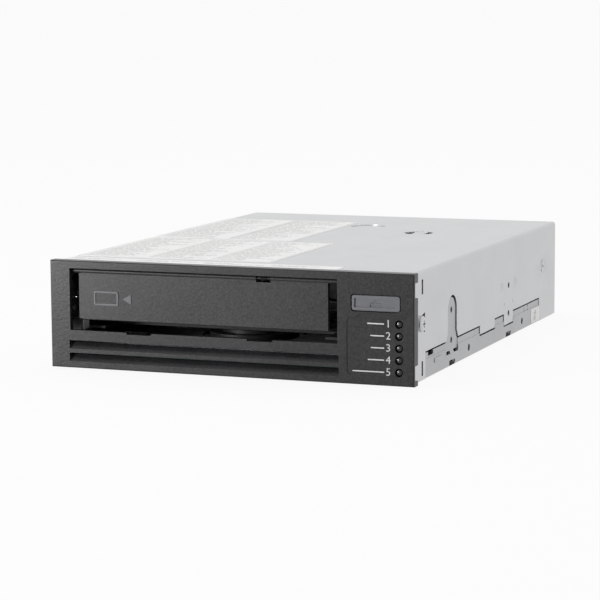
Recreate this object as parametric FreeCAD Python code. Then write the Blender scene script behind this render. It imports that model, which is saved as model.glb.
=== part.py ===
"""Half-height 5.25-inch data tape drive: bezel, sheet-metal case, cartridge loader, reels, tape path and boards.

Millimetres. X runs across the drive, +Y from the bezel to the rear panel, +Z up.
The origin is the centre of the footprint, on the surface that the drive stands on.
"""

import FreeCAD
import Part

import math
import os

Vector = FreeCAD.Vector

# ---------------------------------------------------------------- case and bezel
chassis_width = 146.0
chassis_length = 202.0
chassis_height = 41.4
sheet = 1.0                 # thickness of the cover and the pan
foot_height = 0.3           # the pressed feet stand this far below the pan
case_gap = 0.1              # slip fit between sheet-metal pieces
seam = 0.35                 # visible gap where the cover meets the pan
bend_radius = 1.3
bezel_overhang = 1.5        # beyond the case on each side
bezel_depth = 4.5           # what stands in front of the case
bezel_face = 2.2
bezel_rim = 1.5
bezel_rise = 0.3            # how far the bezel stands above the cover
bezel_round = 0.5

overall_length = bezel_depth + chassis_length
half_width = chassis_width / 2
bezel_width = chassis_width + 2 * bezel_overhang
wall_inside = half_width - sheet
pan_bottom = foot_height
pan_top = pan_bottom + sheet
cover_top = pan_bottom + chassis_height
cover_under = cover_top - sheet
bezel_top = cover_top + bezel_rise
rim_inside = bezel_width / 2 - bezel_rim


def depth(distance):
    """Y of a plane this far behind the front face of the bezel."""
    return distance - overall_length / 2


front = depth(0)
datum = depth(bezel_depth)
rear = depth(overall_length)

# ---------------------------------------------------------------- mounting holes (5.25-inch bay standard)
mount_first = 47.4          # from the back of the bezel
mount_pitch = 79.25
mount_low = 10.0            # above the pan
mount_high = 21.84
mount_across = 139.7
tapped_radius = 1.25        # M3 tapping hole
mount_rows = (datum + mount_first, datum + mount_first + mount_pitch)

# ---------------------------------------------------------------- side seam between cover and pan
skirt_front = 18.1          # the pan's side wall shows between these distances from the bezel face
skirt_back = 26.3           # from the rear face
skirt_height = 9.7          # above the pan's underside
band_height = 2.4           # inset band along the top of the pan's wall
band_inset = 0.3
tongue_width = 10.2
tongue_flare = 14.6
tongue_reach = 4.9          # above the upper hole
tongue_gap = 0.5
tab_long_from = 89.2        # the cover reaches down over the pan in two tabs
tab_long_width = 21.6
tab_long_drop = 3.3
tab_hole_width = 14.0
tab_hole_drop = 4.4

skirt_rear = overall_length - skirt_back

# ---------------------------------------------------------------- boards and deck
board_lift = 1.3
board_thick = 1.6
board_margin = 5.5          # to the case walls
board_front = 16.0
board_back = 2.5            # in front of the rear face
deck_lift = 2.0
deck_thick = 2.0
deck_margin = 1.5
deck_front = 16.5
deck_back = 12.5
board_half = wall_inside - board_margin
board_rear = overall_length - board_back
deck_half = wall_inside - deck_margin
deck_rear = overall_length - deck_back
board_bottom = pan_top + board_lift
board_top = board_bottom + board_thick
deck_bottom = board_top + deck_lift
deck_top = deck_bottom + deck_thick

# ---------------------------------------------------------------- cartridge and its slot
cartridge_width = 105.4
cartridge_height = 21.5
cartridge_length = 102.0
cartridge_front = 3.0       # from the bezel face, when pushed home
bay_from_left = 61.15       # from the left wall to the middle of the slot
floor_rise = 7.0            # top of the carrier's floor above the deck, when raised
carrier_sheet = 1.0
carrier_play = 0.35         # beside the cartridge
carrier_front = 12.0
carrier_rear = 104.0
carrier_ledge = 8.0
carrier_wall_height = 21.3
carrier_over = 0.25         # above the cartridge
lift_drop = 3.8
slot_width = 110.6
slot_height = 24.2
slot_sill = 0.35            # the sill lies this far below the carrier's floor

floor_top = deck_top + floor_rise
bay_x = bay_from_left - wall_inside
slot_bottom = floor_top - slot_sill
slot_top = slot_bottom + slot_height
slot_left = bay_x - slot_width / 2
slot_right = bay_x + slot_width / 2
carrier_inside = cartridge_width / 2 + carrier_play
carrier_outside = carrier_inside + carrier_sheet
hub_y = depth(cartridge_front + cartridge_length / 2)

# ---------------------------------------------------------------- cartridge door
door_width = 101.9
door_length = 19.0          # from the hinge's axis to the lower edge
door_thick = 1.6
door_recess = 2.0
door_cheek = 1.7            # set-back strip beside the flap
barrel_width = 109.2
hinge_rod_radius = 0.5
hinge_clearance = 0.05
barrel_radius = 0.95
hinge_behind = 0.6          # behind the door's face
hinge_drop = 1.15           # below the top of the slot
spring_wire = 0.15          # radius of the wire
spring_turns = 5
spring_room = 6.0           # length of barrel left out for the spring
spring_place = 22.0         # from the middle of the door
spring_leg = 7.0
spring_stop = 0.3           # below the top of the bezel's recess
coil_sides = 12

hinge_y = depth(door_recess + hinge_behind)
hinge_z = slot_top - hinge_drop
spring_radius = hinge_rod_radius + 0.1 + spring_wire

# ---------------------------------------------------------------- front panel on the bezel
vent_width = 111.6
vent_height = 3.3
vent_pitch = 4.9
vent_below_slot = 4.05
vent_slope = 2.6
button_width = 18.9
button_height = 5.8
controls_from_right = 12.4  # from the right wall to the middle of the lamp field
button_shift = -0.05
button_z = 30.6
button_gap = 0.35
button_round = 1.0
button_travel = 1.0
button_rim = 1.0
button_sink = 0.5
button_coil = 1.6
button_wire = 0.12
button_turns = 3
switch_tall = 2.7
switch_gap = 0.1            # left between plunger and switch when the button is pressed home
panel_width = 22.9
panel_height = 22.1
panel_z = 14.5
panel_round = 2.0
panel_sink = 0.25
lamp_count = 5
lamp_from_right = 3.45
lamp_top_z = 23.1
lamp_pitch = 4.5
lamp_radius = 1.6
lamp_fit = 0.08

panel_x = wall_inside - controls_from_right
button_x = panel_x + button_shift
lamp_x = wall_inside - lamp_from_right

# ---------------------------------------------------------------- front board
front_board_depth = 7.6
front_board_thick = 1.2
front_board_left = 11.6      # from the middle of the lamp field
front_board_right = 10.6
front_board_low = 3.2
front_board_high = 35.5
post_from_field = 6.6
post_heights = (8.0, 20.0)
post_radius = 1.8
post_x = panel_x - post_from_field

# ---------------------------------------------------------------- loader: side frames and cam slider
plate = 1.2
plate_gap = 0.5
pin_radius = 1.3
pin_play = 0.15
pin_rows = (30.0, 88.0)     # distance of the carrier's pins from the bezel face
pin_height = 8.8            # above the carrier's floor
slide_travel = 5.7
frame_front = 17.0
frame_rear = 104.0
frame_height = 28.8         # above the deck
flange = 3.4
cam_front = 20.0
cam_rear = 97.0
cam_foot = 1.8              # lower edge of the cam plates above the deck
cam_height = 21.0
strap_front = 14.0
strap_width = 8.0
stud_rows = (42.0, 82.0)
stud_radius = 1.2
stud_height = 4.0           # above the cam plate's lower edge

frame_inside = carrier_outside + plate_gap
frame_outside = frame_inside + plate
cam_inside = frame_outside + plate_gap
cam_outside = cam_inside + plate
pin_z = floor_top + pin_height
cam_bottom = deck_top + cam_foot

# ---------------------------------------------------------------- loader: rack and gears
load_module = 0.6
small_teeth = 12
large_teeth = 28
addendum = 0.8              # in modules
dedendum = 1.05
backlash = 0.12
pressure = math.radians(20)
rack_thick = 2.8
rack_height = 5.0           # pitch line above the cam plate's lower edge
rack_length = 23.0
pinion_row = 62.0           # last gear's distance from the bezel face
gear_thick = 2.0
gear_gap = 0.5
gear_stud_radius = 1.2
gear_clearance = 0.05
train_angle = math.radians(25)
load_motor_radius = 8.0
load_motor_length = 13.4
motor_shaft_radius = 0.75

# ---------------------------------------------------------------- reels
motor_radius = 20.5
motor_flange_radius = 24.0
motor_flange_thick = 1.5
motor_depth = 3.2           # below the deck's underside
motor_rise = 1.4            # above the deck's underside
shaft_radius = 3.0
clutch_radius = 18.0
clutch_teeth = 18
reel_gap = 1.0              # between reel and case wall
takeup_row = 153.5
reel_radius = 46.5
reel_hub_radius = 20.0
reel_flange = 1.0
tape_gap = 13.8             # between the reel's flanges
takeup_x = wall_inside - reel_gap - reel_radius
tape_z = floor_top + cartridge_height / 2 + 0.2 - lift_drop

# ---------------------------------------------------------------- threader and tape path, set round the threader's pivot
pivot_from_left = 35.0
pivot_row = 133.1
arm_radius = 30.0
arm_rest = math.radians(226.9)
arm_thick = 2.6
arm_width = 8.0
arm_clear = 0.8             # under the arm, over the head at its highest
grab_radius = 1.5
pivot_radius = 2.5
thread_module = 0.8
arm_teeth = 36
thread_teeth = 14
thread_angle = math.radians(-57)
thread_gear_thick = 2.2
thread_motor_radius = 7.0
path_radius = 22.0
roller_angles = (222, 186, 120, 84)
roller_radius = 4.2
roller_flange = 0.8
roller_edge = 1.0
roller_clearance = 0.05
post_core = 1.5
head_angle = 153
head_reach = 23.2
head_half = 3.2
head_height = 14.0
head_travel = 2.5
carriage_near = 11.7
carriage_far = 17.2
carriage_half = 6.5
rod_across = 4.6
rod_out = 13.6
rod_radius = 1.0
screw_out = 9.6
screw_radius = 1.2

pivot_x = pivot_from_left - wall_inside
pivot_y = depth(pivot_row)
takeup_y = depth(takeup_row)
path_bottom = tape_z - tape_gap / 2
path_top = tape_z + tape_gap / 2
arm_bottom = tape_z + head_height / 2 + head_travel + arm_clear + roller_edge

# ---------------------------------------------------------------- rear panel
sas_x = -36.0
sas_width = 44.0
sas_height = 7.0
sas_wall = 1.2
bus_x = 14.0
bus_width = 22.0
bus_height = 6.0
socket_length = 10.0
socket_clearance = 0.4
flange_reach = 24.0


# ================================================================ shape helpers
def block(x0, x1, y0, y1, z0, z1):
    """A box between two corners."""
    return Part.makeBox(x1 - x0, y1 - y0, z1 - z0, Vector(x0, y0, z0))


def rod_x(radius, y, z, x0, x1):
    """A round bar along X."""
    return Part.makeCylinder(radius, x1 - x0, Vector(x0, y, z), Vector(1, 0, 0))


def rod_y(radius, x, z, y0, y1):
    """A round bar along Y."""
    return Part.makeCylinder(radius, y1 - y0, Vector(x, y0, z), Vector(0, 1, 0))


def rod_z(radius, x, y, z0, z1):
    """A round bar along Z."""
    return Part.makeCylinder(radius, z1 - z0, Vector(x, y, z0), Vector(0, 0, 1))


def outline(points, normal_axis, start, length):
    """A flat outline pushed along X, Y or Z. The points are (y, z), (x, z) or (x, y)."""
    place = {
        "X": lambda a, b: Vector(start, a, b),
        "Y": lambda a, b: Vector(a, start, b),
        "Z": lambda a, b: Vector(a, b, start),
    }[normal_axis]
    push = {"X": Vector(length, 0, 0), "Y": Vector(0, length, 0), "Z": Vector(0, 0, length)}[normal_axis]
    corners = [place(a, b) for a, b in points]
    return Part.Face(Part.makePolygon(corners + corners[:1])).extrude(push)


def stadium_x(y0, z0, y1, z1, radius, x0, x1):
    """A round-ended slot between two centres in a plane across X."""
    along = Vector(0, y1 - y0, z1 - z0)
    side = Vector(1, 0, 0).cross(along).normalize() * radius
    a, b = Vector(x0, y0, z0), Vector(x0, y1, z1)
    corners = [a + side, b + side, b - side, a - side]
    body = Part.Face(Part.makePolygon(corners + corners[:1])).extrude(Vector(x1 - x0, 0, 0))
    return body.fuse([rod_x(radius, y0, z0, x0, x1), rod_x(radius, y1, z1, x0, x1)])


def rounded(body, radius, along):
    """Rounds the edges of a body that run along one direction."""
    edges = [e for e in body.Edges if e.Curve.TypeId == "Part::GeomLine" and abs(abs(e.tangentAt(
        e.FirstParameter).dot(along)) - 1) < 1e-6]
    return body.makeFillet(radius, edges)


def joined(first, *others):
    """Fuses shapes into one clean solid."""
    return first.fuse(list(others)).removeSplitter()


def both_sides(body, plane_x=0.0):
    """The body and its mirror image across a plane of constant X."""
    return [body, mirrored(body, plane_x)]


def mirrored(body, plane_x=0.0):
    """The mirror image across a plane of constant X."""
    return body.mirror(Vector(plane_x, 0, 0), Vector(1, 0, 0))


def polar(centre, radius, angle):
    """A point at a radius and angle from a centre."""
    return centre[0] + radius * math.cos(angle), centre[1] + radius * math.sin(angle)


def save(name, *solids):
    """Writes one node's solids to its STEP file."""
    shape = solids[0] if len(solids) == 1 else Part.makeCompound(list(solids))
    shape.exportStep(os.path.join("parts", name + ".step"))


# ================================================================ gears
def involute(angle):
    """The involute function."""
    return math.tan(angle) - angle


def gear_points(module, teeth, phase):
    """Corners of a spur gear about the origin, with a tooth centred on the phase angle."""
    pitch = module * teeth / 2
    base = pitch * math.cos(pressure)
    root = pitch - dedendum * module
    tip = pitch + addendum * module
    thickness = math.pi / (2 * teeth) - backlash / (2 * pitch)

    def half_angle(radius):
        return thickness + involute(pressure) - involute(math.acos(min(1, base / max(radius, base))))

    points = []
    for tooth in range(teeth):
        middle = phase + 2 * math.pi * tooth / teeth
        flank = [(radius, half_angle(radius)) for radius in (root, pitch, tip)]
        points += [(radius, middle - angle) for radius, angle in flank]
        points += [(radius, middle + angle) for radius, angle in reversed(flank)]
    return [(radius * math.cos(a), radius * math.sin(a)) for radius, a in points]


def matched_phase(line_angle, phase, teeth, other_teeth):
    """The phase of a gear that meshes with another, which lies at line_angle and has this phase and teeth."""
    offset = (line_angle - phase) / (2 * math.pi / teeth)
    return line_angle + math.pi - (0.5 - offset) * 2 * math.pi / other_teeth


def gear_x(module, teeth, phase, y, z, x0, x1):
    """A spur gear on an axle along X."""
    points = [(y + a, z + b) for a, b in gear_points(module, teeth, phase)]
    return outline(points, "X", x0, x1 - x0)


def gear_z(module, teeth, phase, x, y, z0, z1):
    """A spur gear on an upright axle."""
    points = [(x + a, y + b) for a, b in gear_points(module, teeth, phase)]
    return outline(points, "Z", z0, z1 - z0)


# ================================================================ sheet-metal case
tongue_y = mount_rows[0]
tongue_top = pan_bottom + mount_high + tongue_reach
skirt_top = pan_bottom + skirt_height
tab_hole_from = mount_rows[1] - tab_hole_width / 2
lance_width = 5.6
lance_row = 159.2
latch_row = 8.9             # the slots that the bezel's latches snap into, from the back of the bezel
latch_slot = 1.9
latch_height = 5.6
latch_levels = (1.7, 32.5)  # lower edges, above the pan
finger_reach = 2.2
bezel_screw_row = 7.8
bezel_screw_height = 21.7
cover_screw_row = overall_length - 19.5
cover_screw_height = 23.6
cover_screw_radius = 3.7
dimple_radius = 2.1
dimple_spread = 10.2
strap_hole_x = 29.7
strap_hole_row = 142.0
strap_hole_radius = 6.1
ring_x = -0.2
ring_row = 161.5
ring_radius = 7.6
ring_depth = 0.35
pad_inner = half_width - 11.0
pad_margin = 1.2
pad_rows = ((30.7, 43.2), (57.7, 122.0), (140.5, overall_length - 13.6))
leg_line = deck_half - 10.5
boss_line = board_half - 4.5
deck_legs = ((-leg_line, 24.0), (leg_line - 2.0, 34.0), (-leg_line, 102.0), (leg_line - 2.0, 100.0),
             (-leg_line, deck_rear - 8.0), (leg_line, deck_rear - 8.0))
board_bosses = ((-boss_line, 36.0), (boss_line, 50.0), (-boss_line, board_rear - 10.0),
                (boss_line, board_rear - 8.0))
boss_radius = 2.4
boss_thread = 1.0
leg_radius = 2.8
leg_screw_radius = 1.25
leg_head_radius = 2.6


def tongue_outline(extra, floor):
    """The upright mounting tongue, widened by extra all round: a round top, straight sides and a flared foot."""
    half = tongue_width / 2 + extra
    foot = tongue_flare / 2 + extra
    crown = tongue_top + extra - half
    shoulder = pan_bottom + mount_low + 3.5
    start = Vector(0, tongue_y - foot, floor)
    edges = [
        Part.LineSegment(start, Vector(0, tongue_y - foot, skirt_top)),
        Part.LineSegment(Vector(0, tongue_y - foot, skirt_top), Vector(0, tongue_y - half, shoulder)),
        Part.LineSegment(Vector(0, tongue_y - half, shoulder), Vector(0, tongue_y - half, crown)),
        Part.Arc(Vector(0, tongue_y - half, crown), Vector(0, tongue_y, crown + half),
                 Vector(0, tongue_y + half, crown)),
        Part.LineSegment(Vector(0, tongue_y + half, crown), Vector(0, tongue_y + half, shoulder)),
        Part.LineSegment(Vector(0, tongue_y + half, shoulder), Vector(0, tongue_y + foot, skirt_top)),
        Part.LineSegment(Vector(0, tongue_y + foot, skirt_top), Vector(0, tongue_y + foot, floor)),
        Part.LineSegment(Vector(0, tongue_y + foot, floor), start),
    ]
    return Part.Face(Part.Wire([edge.toShape() for edge in edges]))


def tongue(extra, floor, x0, x1):
    """The mounting tongue as a plate between two planes across X."""
    face = tongue_outline(extra, floor)
    face.translate(Vector(x0, 0, 0))
    return face.extrude(Vector(x1 - x0, 0, 0))


def side_tabs(extra):
    """The two places where the cover's right wall reaches down over the pan's wall, widened by extra."""
    long_tab = block(wall_inside, half_width, depth(tab_long_from) - extra,
                     depth(tab_long_from + tab_long_width) + extra, skirt_top - tab_long_drop - extra, skirt_top + seam)
    hole_tab = block(wall_inside, half_width, tab_hole_from - extra, tab_hole_from + tab_hole_width + extra,
                     skirt_top - tab_hole_drop - extra, skirt_top + seam)
    return [long_tab, hole_tab]


def cover_wall_openings():
    """Everything that is cut through the cover's right wall."""
    x0, x1 = wall_inside - sheet, half_width + sheet
    below = pan_bottom - sheet
    openings = [block(x0, x1, depth(skirt_front), depth(skirt_rear), below, skirt_top + seam)]
    openings.append(tongue(tongue_gap, below, x0, x1))
    for level in latch_levels:
        low = pan_bottom + level
        openings.append(block(x0, x1, datum + latch_row, datum + latch_row + latch_slot, low, low + latch_height))
    screw_y, screw_z = datum + bezel_screw_row, pan_bottom + bezel_screw_height
    near, far = screw_y + 1.1, screw_y + 5.4
    openings.append(outline([(near, screw_z - 2.9), (far, screw_z - 3.8), (far, screw_z + 3.8),
                             (near, screw_z + 2.9)], "X", x0, x1 - x0))
    openings.append(rod_x(tapped_radius + 0.35, screw_y, screw_z, x0, x1))
    for height in (mount_low, mount_high):
        openings.append(rod_x(tapped_radius, mount_rows[1], pan_bottom + height, x0, x1))
    for side in (-1, 1):
        openings.append(block(x0, x1, mount_rows[1] + side * 6.5 - 0.25, mount_rows[1] + side * 6.5 + 0.25,
                              pan_bottom + 13.8, pan_bottom + 15.3))
    openings.append(cover_screw(0.12))
    return openings


def cover_screw(extra):
    """A countersunk case screw with its axis along X, enlarged by extra."""
    y, z = depth(cover_screw_row), pan_bottom + cover_screw_height
    head = Part.makeCone(cover_screw_radius + extra, tapped_radius + extra, sheet, Vector(half_width, y, z),
                         Vector(-1, 0, 0))
    shank = rod_x(tapped_radius + extra, y, z, wall_inside - 3.0, half_width - sheet)
    return head.fuse(shank)


def dimple_x(y, z):
    """A shallow round dimple pressed into the right wall: (what is removed outside, what is added inside)."""
    centre = Vector(half_width + 4.5, y, z)
    ball = math.hypot(4.5, dimple_radius)
    return Part.makeSphere(ball, centre)


def top_cover():
    """Folded lid: top plate and two side walls, with the openings that the tongues and latches need."""
    outer = block(-half_width, half_width, datum, rear, pan_bottom + case_gap, cover_top)
    upper_edges = [e for e in outer.Edges if abs(e.BoundBox.ZMin - cover_top) < 1e-6 and e.BoundBox.YLength > 1]
    outer = outer.makeFillet(bend_radius, upper_edges)
    inner = block(-wall_inside, wall_inside, datum - sheet, rear + sheet, pan_bottom - sheet, cover_under)
    inner_edges = [e for e in inner.Edges if abs(e.BoundBox.ZMin - cover_under) < 1e-6 and e.BoundBox.YLength > 1]
    inner = inner.makeFillet(bend_radius - sheet, inner_edges)
    shell = outer.cut(inner)
    fingers = []
    for level in latch_levels:
        low = max(pan_bottom + level, pan_bottom + case_gap)
        fingers.append(block(wall_inside, half_width, datum - finger_reach, datum, low, low + latch_height))
    shell = shell.fuse([f for finger in fingers for f in both_sides(finger)])
    openings = cover_wall_openings()
    tabs = side_tabs(0.0)
    shell = shell.cut([o for opening in openings[:1] for o in both_sides(opening)])
    shell = shell.fuse([t for tab in tabs for t in both_sides(tab)])
    shell = shell.cut([o for opening in openings[1:] for o in both_sides(opening)])
    dimples = [dimple_x(mount_rows[1] + side * dimple_spread, pan_bottom + mount_high) for side in (-1, 1)]
    shell = shell.cut([d for dimple in dimples for d in both_sides(dimple)])
    shell = shell.cut(cover_top_openings())
    return shell.fuse(strap()).removeSplitter()


def cover_top_openings():
    """The round hole under the strap and the pressed ring in the top plate."""
    hole = rod_z(strap_hole_radius, strap_hole_x, depth(strap_hole_row), cover_under - sheet, cover_top + sheet)
    ring = rod_z(ring_radius, ring_x, depth(ring_row), cover_top - ring_depth, cover_top + sheet)
    return [hole, ring]


def strap():
    """The pressed strap across the round hole, arched over the take-up reel's bearing."""
    half, rise = 2.6, 0.25
    y0, y1 = depth(strap_hole_row) - strap_hole_radius - 0.5, depth(strap_hole_row) + strap_hole_radius + 0.5
    middle = (y0 + y1) / 2
    lower = Part.Arc(Vector(0, y0, cover_under), Vector(0, middle, cover_under - rise), Vector(0, y1, cover_under))
    upper = Part.Arc(Vector(0, y1, cover_top - 0.05), Vector(0, middle, cover_top - 0.05 - rise),
                     Vector(0, y0, cover_top - 0.05))
    sides = [Part.LineSegment(Vector(0, y1, cover_under), Vector(0, y1, cover_top - 0.05)),
             Part.LineSegment(Vector(0, y0, cover_top - 0.05), Vector(0, y0, cover_under))]
    wire = Part.Wire([lower.toShape(), sides[0].toShape(), upper.toShape(), sides[1].toShape()])
    body = Part.Face(wire).extrude(Vector(2 * half, 0, 0))
    body.translate(Vector(strap_hole_x - half, 0, 0))
    return body


def pan_wall():
    """The pan's right wall between the cover's front and rear skirts, with its inset band and mounting tongue."""
    y0, y1 = depth(skirt_front) + case_gap, depth(skirt_rear) - case_gap
    wall = block(wall_inside, half_width, y0, y1, pan_bottom, skirt_top)
    band = block(half_width - band_inset, half_width + sheet, y0 - sheet, y1 + sheet, skirt_top - band_height,
                 skirt_top + sheet)
    wall = wall.cut(band).cut(side_tabs(seam))
    under_tongue = block(wall_inside - sheet, half_width + sheet, tongue_y - tongue_flare / 2 - tongue_gap,
                         tongue_y + tongue_flare / 2 + tongue_gap, pan_bottom + 4.9, skirt_top + sheet)
    wall = wall.cut(under_tongue)
    upright = tongue(0.0, pan_bottom + 6.1, wall_inside, half_width)
    neck = block(wall_inside, half_width, tongue_y - 2.2, tongue_y + 2.2, pan_bottom + 4.5, pan_bottom + 6.4)
    wall = wall.fuse([upright, neck])
    holes = [rod_x(tapped_radius, tongue_y, pan_bottom + h, wall_inside - sheet, half_width + sheet)
             for h in (mount_low, mount_high)]
    holes += [rod_x(1.45, depth(d), pan_bottom + 3.8, wall_inside - sheet, half_width + sheet)
              for d in (74.1, 152.2)]
    for row in mount_rows:
        holes.append(block(wall_inside + 0.2, half_width + sheet, row - 2.6, row + 3.8, pan_bottom + 0.6,
                           pan_bottom + 2.0))
    holes.append(block(wall_inside - sheet, half_width + sheet, depth(22.0), depth(28.6), skirt_top - 1.6,
                       skirt_top + sheet))
    slit = depth(lance_row)
    for side in (-1, 1):
        holes.append(block(wall_inside - sheet, half_width + sheet, slit + side * lance_width / 2 - 0.3,
                           slit + side * lance_width / 2 + 0.3, skirt_top - 2.6, skirt_top + sheet))
    return wall.cut(holes)


def base_pan():
    """Pressed pan: floor, feet, both side walls with their tongues, and the backing tabs behind the rear holes."""
    floor = block(-wall_inside + case_gap, wall_inside - case_gap, datum + case_gap, rear - case_gap, pan_bottom,
                  pan_top)
    side_floor = block(-half_width, half_width, depth(skirt_front) + case_gap, depth(skirt_rear) - case_gap,
                       pan_bottom, pan_top)
    long_edges = [e for e in side_floor.Edges if abs(e.BoundBox.ZMax - pan_bottom) < 1e-6 and e.BoundBox.YLength > 9]
    side_floor = side_floor.makeFillet(sheet * 0.6, long_edges)
    wall = pan_wall()
    backing = block(wall_inside - sheet - case_gap, wall_inside - case_gap, mount_rows[1] - 5.0, mount_rows[1] + 5.0,
                    pan_bottom, pan_bottom + mount_high + 4.2)
    pan = joined(floor, side_floor, *both_sides(wall), *both_sides(backing))
    corner = block(half_width - 0.6, half_width + sheet, depth(skirt_front) - sheet, depth(skirt_rear) + sheet,
                   pan_bottom - sheet, pan_bottom + 0.6)
    keep = rod_y(sheet * 0.6, half_width - sheet * 0.6, pan_bottom + sheet * 0.6, depth(skirt_front) - sheet,
                 depth(skirt_rear) + sheet)
    pan = pan.cut([c for part in [corner.cut(keep)] for c in both_sides(part)])
    holes = []
    for height in (mount_low, mount_high):
        holes += both_sides(rod_x(tapped_radius, mount_rows[1], pan_bottom + height, wall_inside - 3, half_width))
    for row in mount_rows:
        holes += both_sides(rod_z(tapped_radius, mount_across / 2, row, pan_bottom - sheet, pan_top + 4.0))
    pads = []
    for start, end in pad_rows:
        pad = block(pad_inner, half_width - pad_margin, depth(start), depth(end), 0, pan_bottom)
        pads += both_sides(pad)
    bosses = [rod_z(boss_radius, x, depth(row), pan_top - 0.1, board_bottom) for x, row in board_bosses]
    pan = pan.fuse(pads + bosses)
    holes += [rod_z(boss_thread, x, depth(row), pan_bottom - sheet, board_top) for x, row in board_bosses]
    for x, row in deck_legs:
        holes.append(deck_screw(x, row, 0.12))
    return pan.cut(holes).removeSplitter()


def deck_screw(x, row, extra):
    """A countersunk screw that comes up through the pan into a leg of the deck, enlarged by extra."""
    head = Part.makeCone(leg_head_radius + extra, leg_screw_radius + extra, sheet, Vector(x, depth(row), pan_bottom))
    shank = rod_z(leg_screw_radius + extra, x, depth(row), pan_top, deck_bottom - 0.4 + extra)
    return head.fuse(shank)


def rear_panel():
    """Rear wall with side and bottom flanges, two connector openings and vent slots."""
    width = wall_inside - case_gap
    top = cover_under - case_gap
    wall = block(-width, width, rear - sheet, rear, pan_top, top)
    side = block(width - sheet, width, rear - flange_reach, rear - sheet, pan_top + 10.0, top - 3.0)
    foot = block(-width + 6, width - 6, rear - 7.0, rear - sheet, pan_top, pan_top + sheet)
    wall = joined(wall, foot, *both_sides(side))
    cuts = [o for hole in [rod_x(tapped_radius + case_gap, depth(cover_screw_row), pan_bottom + cover_screw_height,
                                 width - 3.5, width + 1)] for o in both_sides(hole)]
    for x, wide, high in ((sas_x, sas_width, sas_height), (bus_x, bus_width, bus_height)):
        cuts.append(block(x - wide / 2 - socket_clearance, x + wide / 2 + socket_clearance, rear - 2 * sheet,
                          rear + sheet, board_top - socket_clearance, board_top + high + socket_clearance))
    for level in range(3):
        for column in range(9):
            x = -56.0 + 14.0 * column
            z = 20.0 + 6.0 * level
            slot = block(x - 5.0, x + 5.0, rear - 2 * sheet, rear + sheet, z - 1.1, z + 1.1)
            cuts.append(slot)
    return wall.cut(cuts).removeSplitter()


# ================================================================ bezel, door, button and lamps
rear_latch_thick = 1.2
latch_play = 0.25


def vent_cut(top):
    """One slanted air slot through the bezel's face: its floor climbs towards the rear."""
    left, right = bay_x - vent_width / 2, bay_x + vent_width / 2
    rise = vent_slope * (bezel_face + 2.0) / bezel_face
    y0, y1 = front, front + bezel_face + 2.0
    body = outline([(y0 - 1, top), (y0, top), (y1, top + rise), (y1, top + rise - vent_height),
                    (y0, top - vent_height), (y0 - 1, top - vent_height)], "X", left, right - left)
    return body


def bezel():
    """Moulded front: face plate with a rim, cartridge slot, slanted vents, lamp panel, latches and hinge ears."""
    width = bezel_width / 2
    body = block(-width, width, front, datum, 0, bezel_top)
    front_edges = [e for e in body.Edges if abs(e.BoundBox.YMax - front) < 1e-6]
    body = body.makeFillet(bezel_round, front_edges)
    cavity = block(-rim_inside, rim_inside, front + bezel_face, datum + 1, bezel_rim, bezel_top - bezel_rim - 0.1)
    body = body.cut(cavity)
    cuts = [block(slot_left, slot_right, front - 1, front + bezel_face + 1, slot_bottom, slot_top)]
    for x in (bay_x - 26.1, bay_x + 24.0):
        cuts.append(block(x - 5.2, x + 5.2, front - 1, front + bezel_face + 1, slot_bottom - 0.75, slot_bottom + 1))
    first = slot_bottom - vent_below_slot
    cuts += [vent_cut(first - row * vent_pitch) for row in range(2)]
    cuts.append(button_hole())
    cuts.append(lamp_panel())
    cuts += [rod_y(lamp_radius, lamp_x, z, front - 1, front + bezel_face + 1) for z in lamp_heights()]
    for level in latch_levels:
        low = pan_bottom + level - 0.1
        notch = block(rim_inside - 0.2, width + 1, front + 1.2, datum + 1, low, low + latch_height + 0.2)
        cuts += both_sides(notch)
    body = body.cut(cuts)
    return joined(body, *bezel_rear_features()).cut(bezel_rear_holes()).removeSplitter()


def lamp_heights():
    """Heights of the status lamps, from the top one down."""
    return [lamp_top_z - row * lamp_pitch for row in range(lamp_count)]


def button_hole():
    """The eject button's opening in the face plate."""
    hole = block(button_x - button_width / 2 - button_gap, button_x + button_width / 2 + button_gap, front - 1,
                 front + bezel_face + 1, button_z - button_height / 2 - button_gap,
                 button_z + button_height / 2 + button_gap)
    return rounded(hole, button_round + button_gap, Vector(0, 1, 0))


def lamp_panel():
    """The shallow round-cornered field round the status lamps."""
    field = block(panel_x - panel_width / 2, panel_x + panel_width / 2, front - 1, front + panel_sink,
                  panel_z - panel_height / 2, panel_z + panel_height / 2)
    return rounded(field, panel_round, Vector(0, 1, 0))


def bezel_rear_features():
    """Latch arms, screw ears, board posts and hinge ears behind the face plate."""
    back = front + bezel_face - 0.2
    outer = wall_inside - latch_play
    features = []
    for level in latch_levels:
        low = pan_bottom + level + latch_play
        high = low + latch_height - 2 * latch_play
        barb = datum + latch_row + latch_play
        arm = outline([(outer - rear_latch_thick, back), (outer, back), (outer, barb), (half_width - 0.2, barb),
                       (half_width - 0.2, barb + 0.5), (outer, barb + latch_slot - 2 * latch_play),
                       (outer - rear_latch_thick, barb + latch_slot)], "Z", low, high - low)
        features += both_sides(arm)
    ear_z = pan_bottom + bezel_screw_height
    ear = block(outer - rear_latch_thick, outer, back, datum + bezel_screw_row + 3.4, ear_z - 3.6, ear_z + 3.6)
    features += both_sides(ear)
    for z in post_heights:
        features.append(rod_y(post_radius, post_x, z, back, depth(front_board_depth)))
    for x0, x1 in ((slot_left - 2.6, slot_left), (slot_right, slot_right + 2.6)):
        features.append(block(x0, x1, back, hinge_y + 1.8, hinge_z - 1.9, bezel_top - bezel_rim))
    stop = spring_ends()[1]
    features.append(block(stop - 0.7, stop + 0.7, back, spring_leg_y() - spring_wire - 0.02,
                          hinge_z + spring_radius + spring_wire + 0.3, bezel_top - bezel_rim))
    return features


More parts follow.
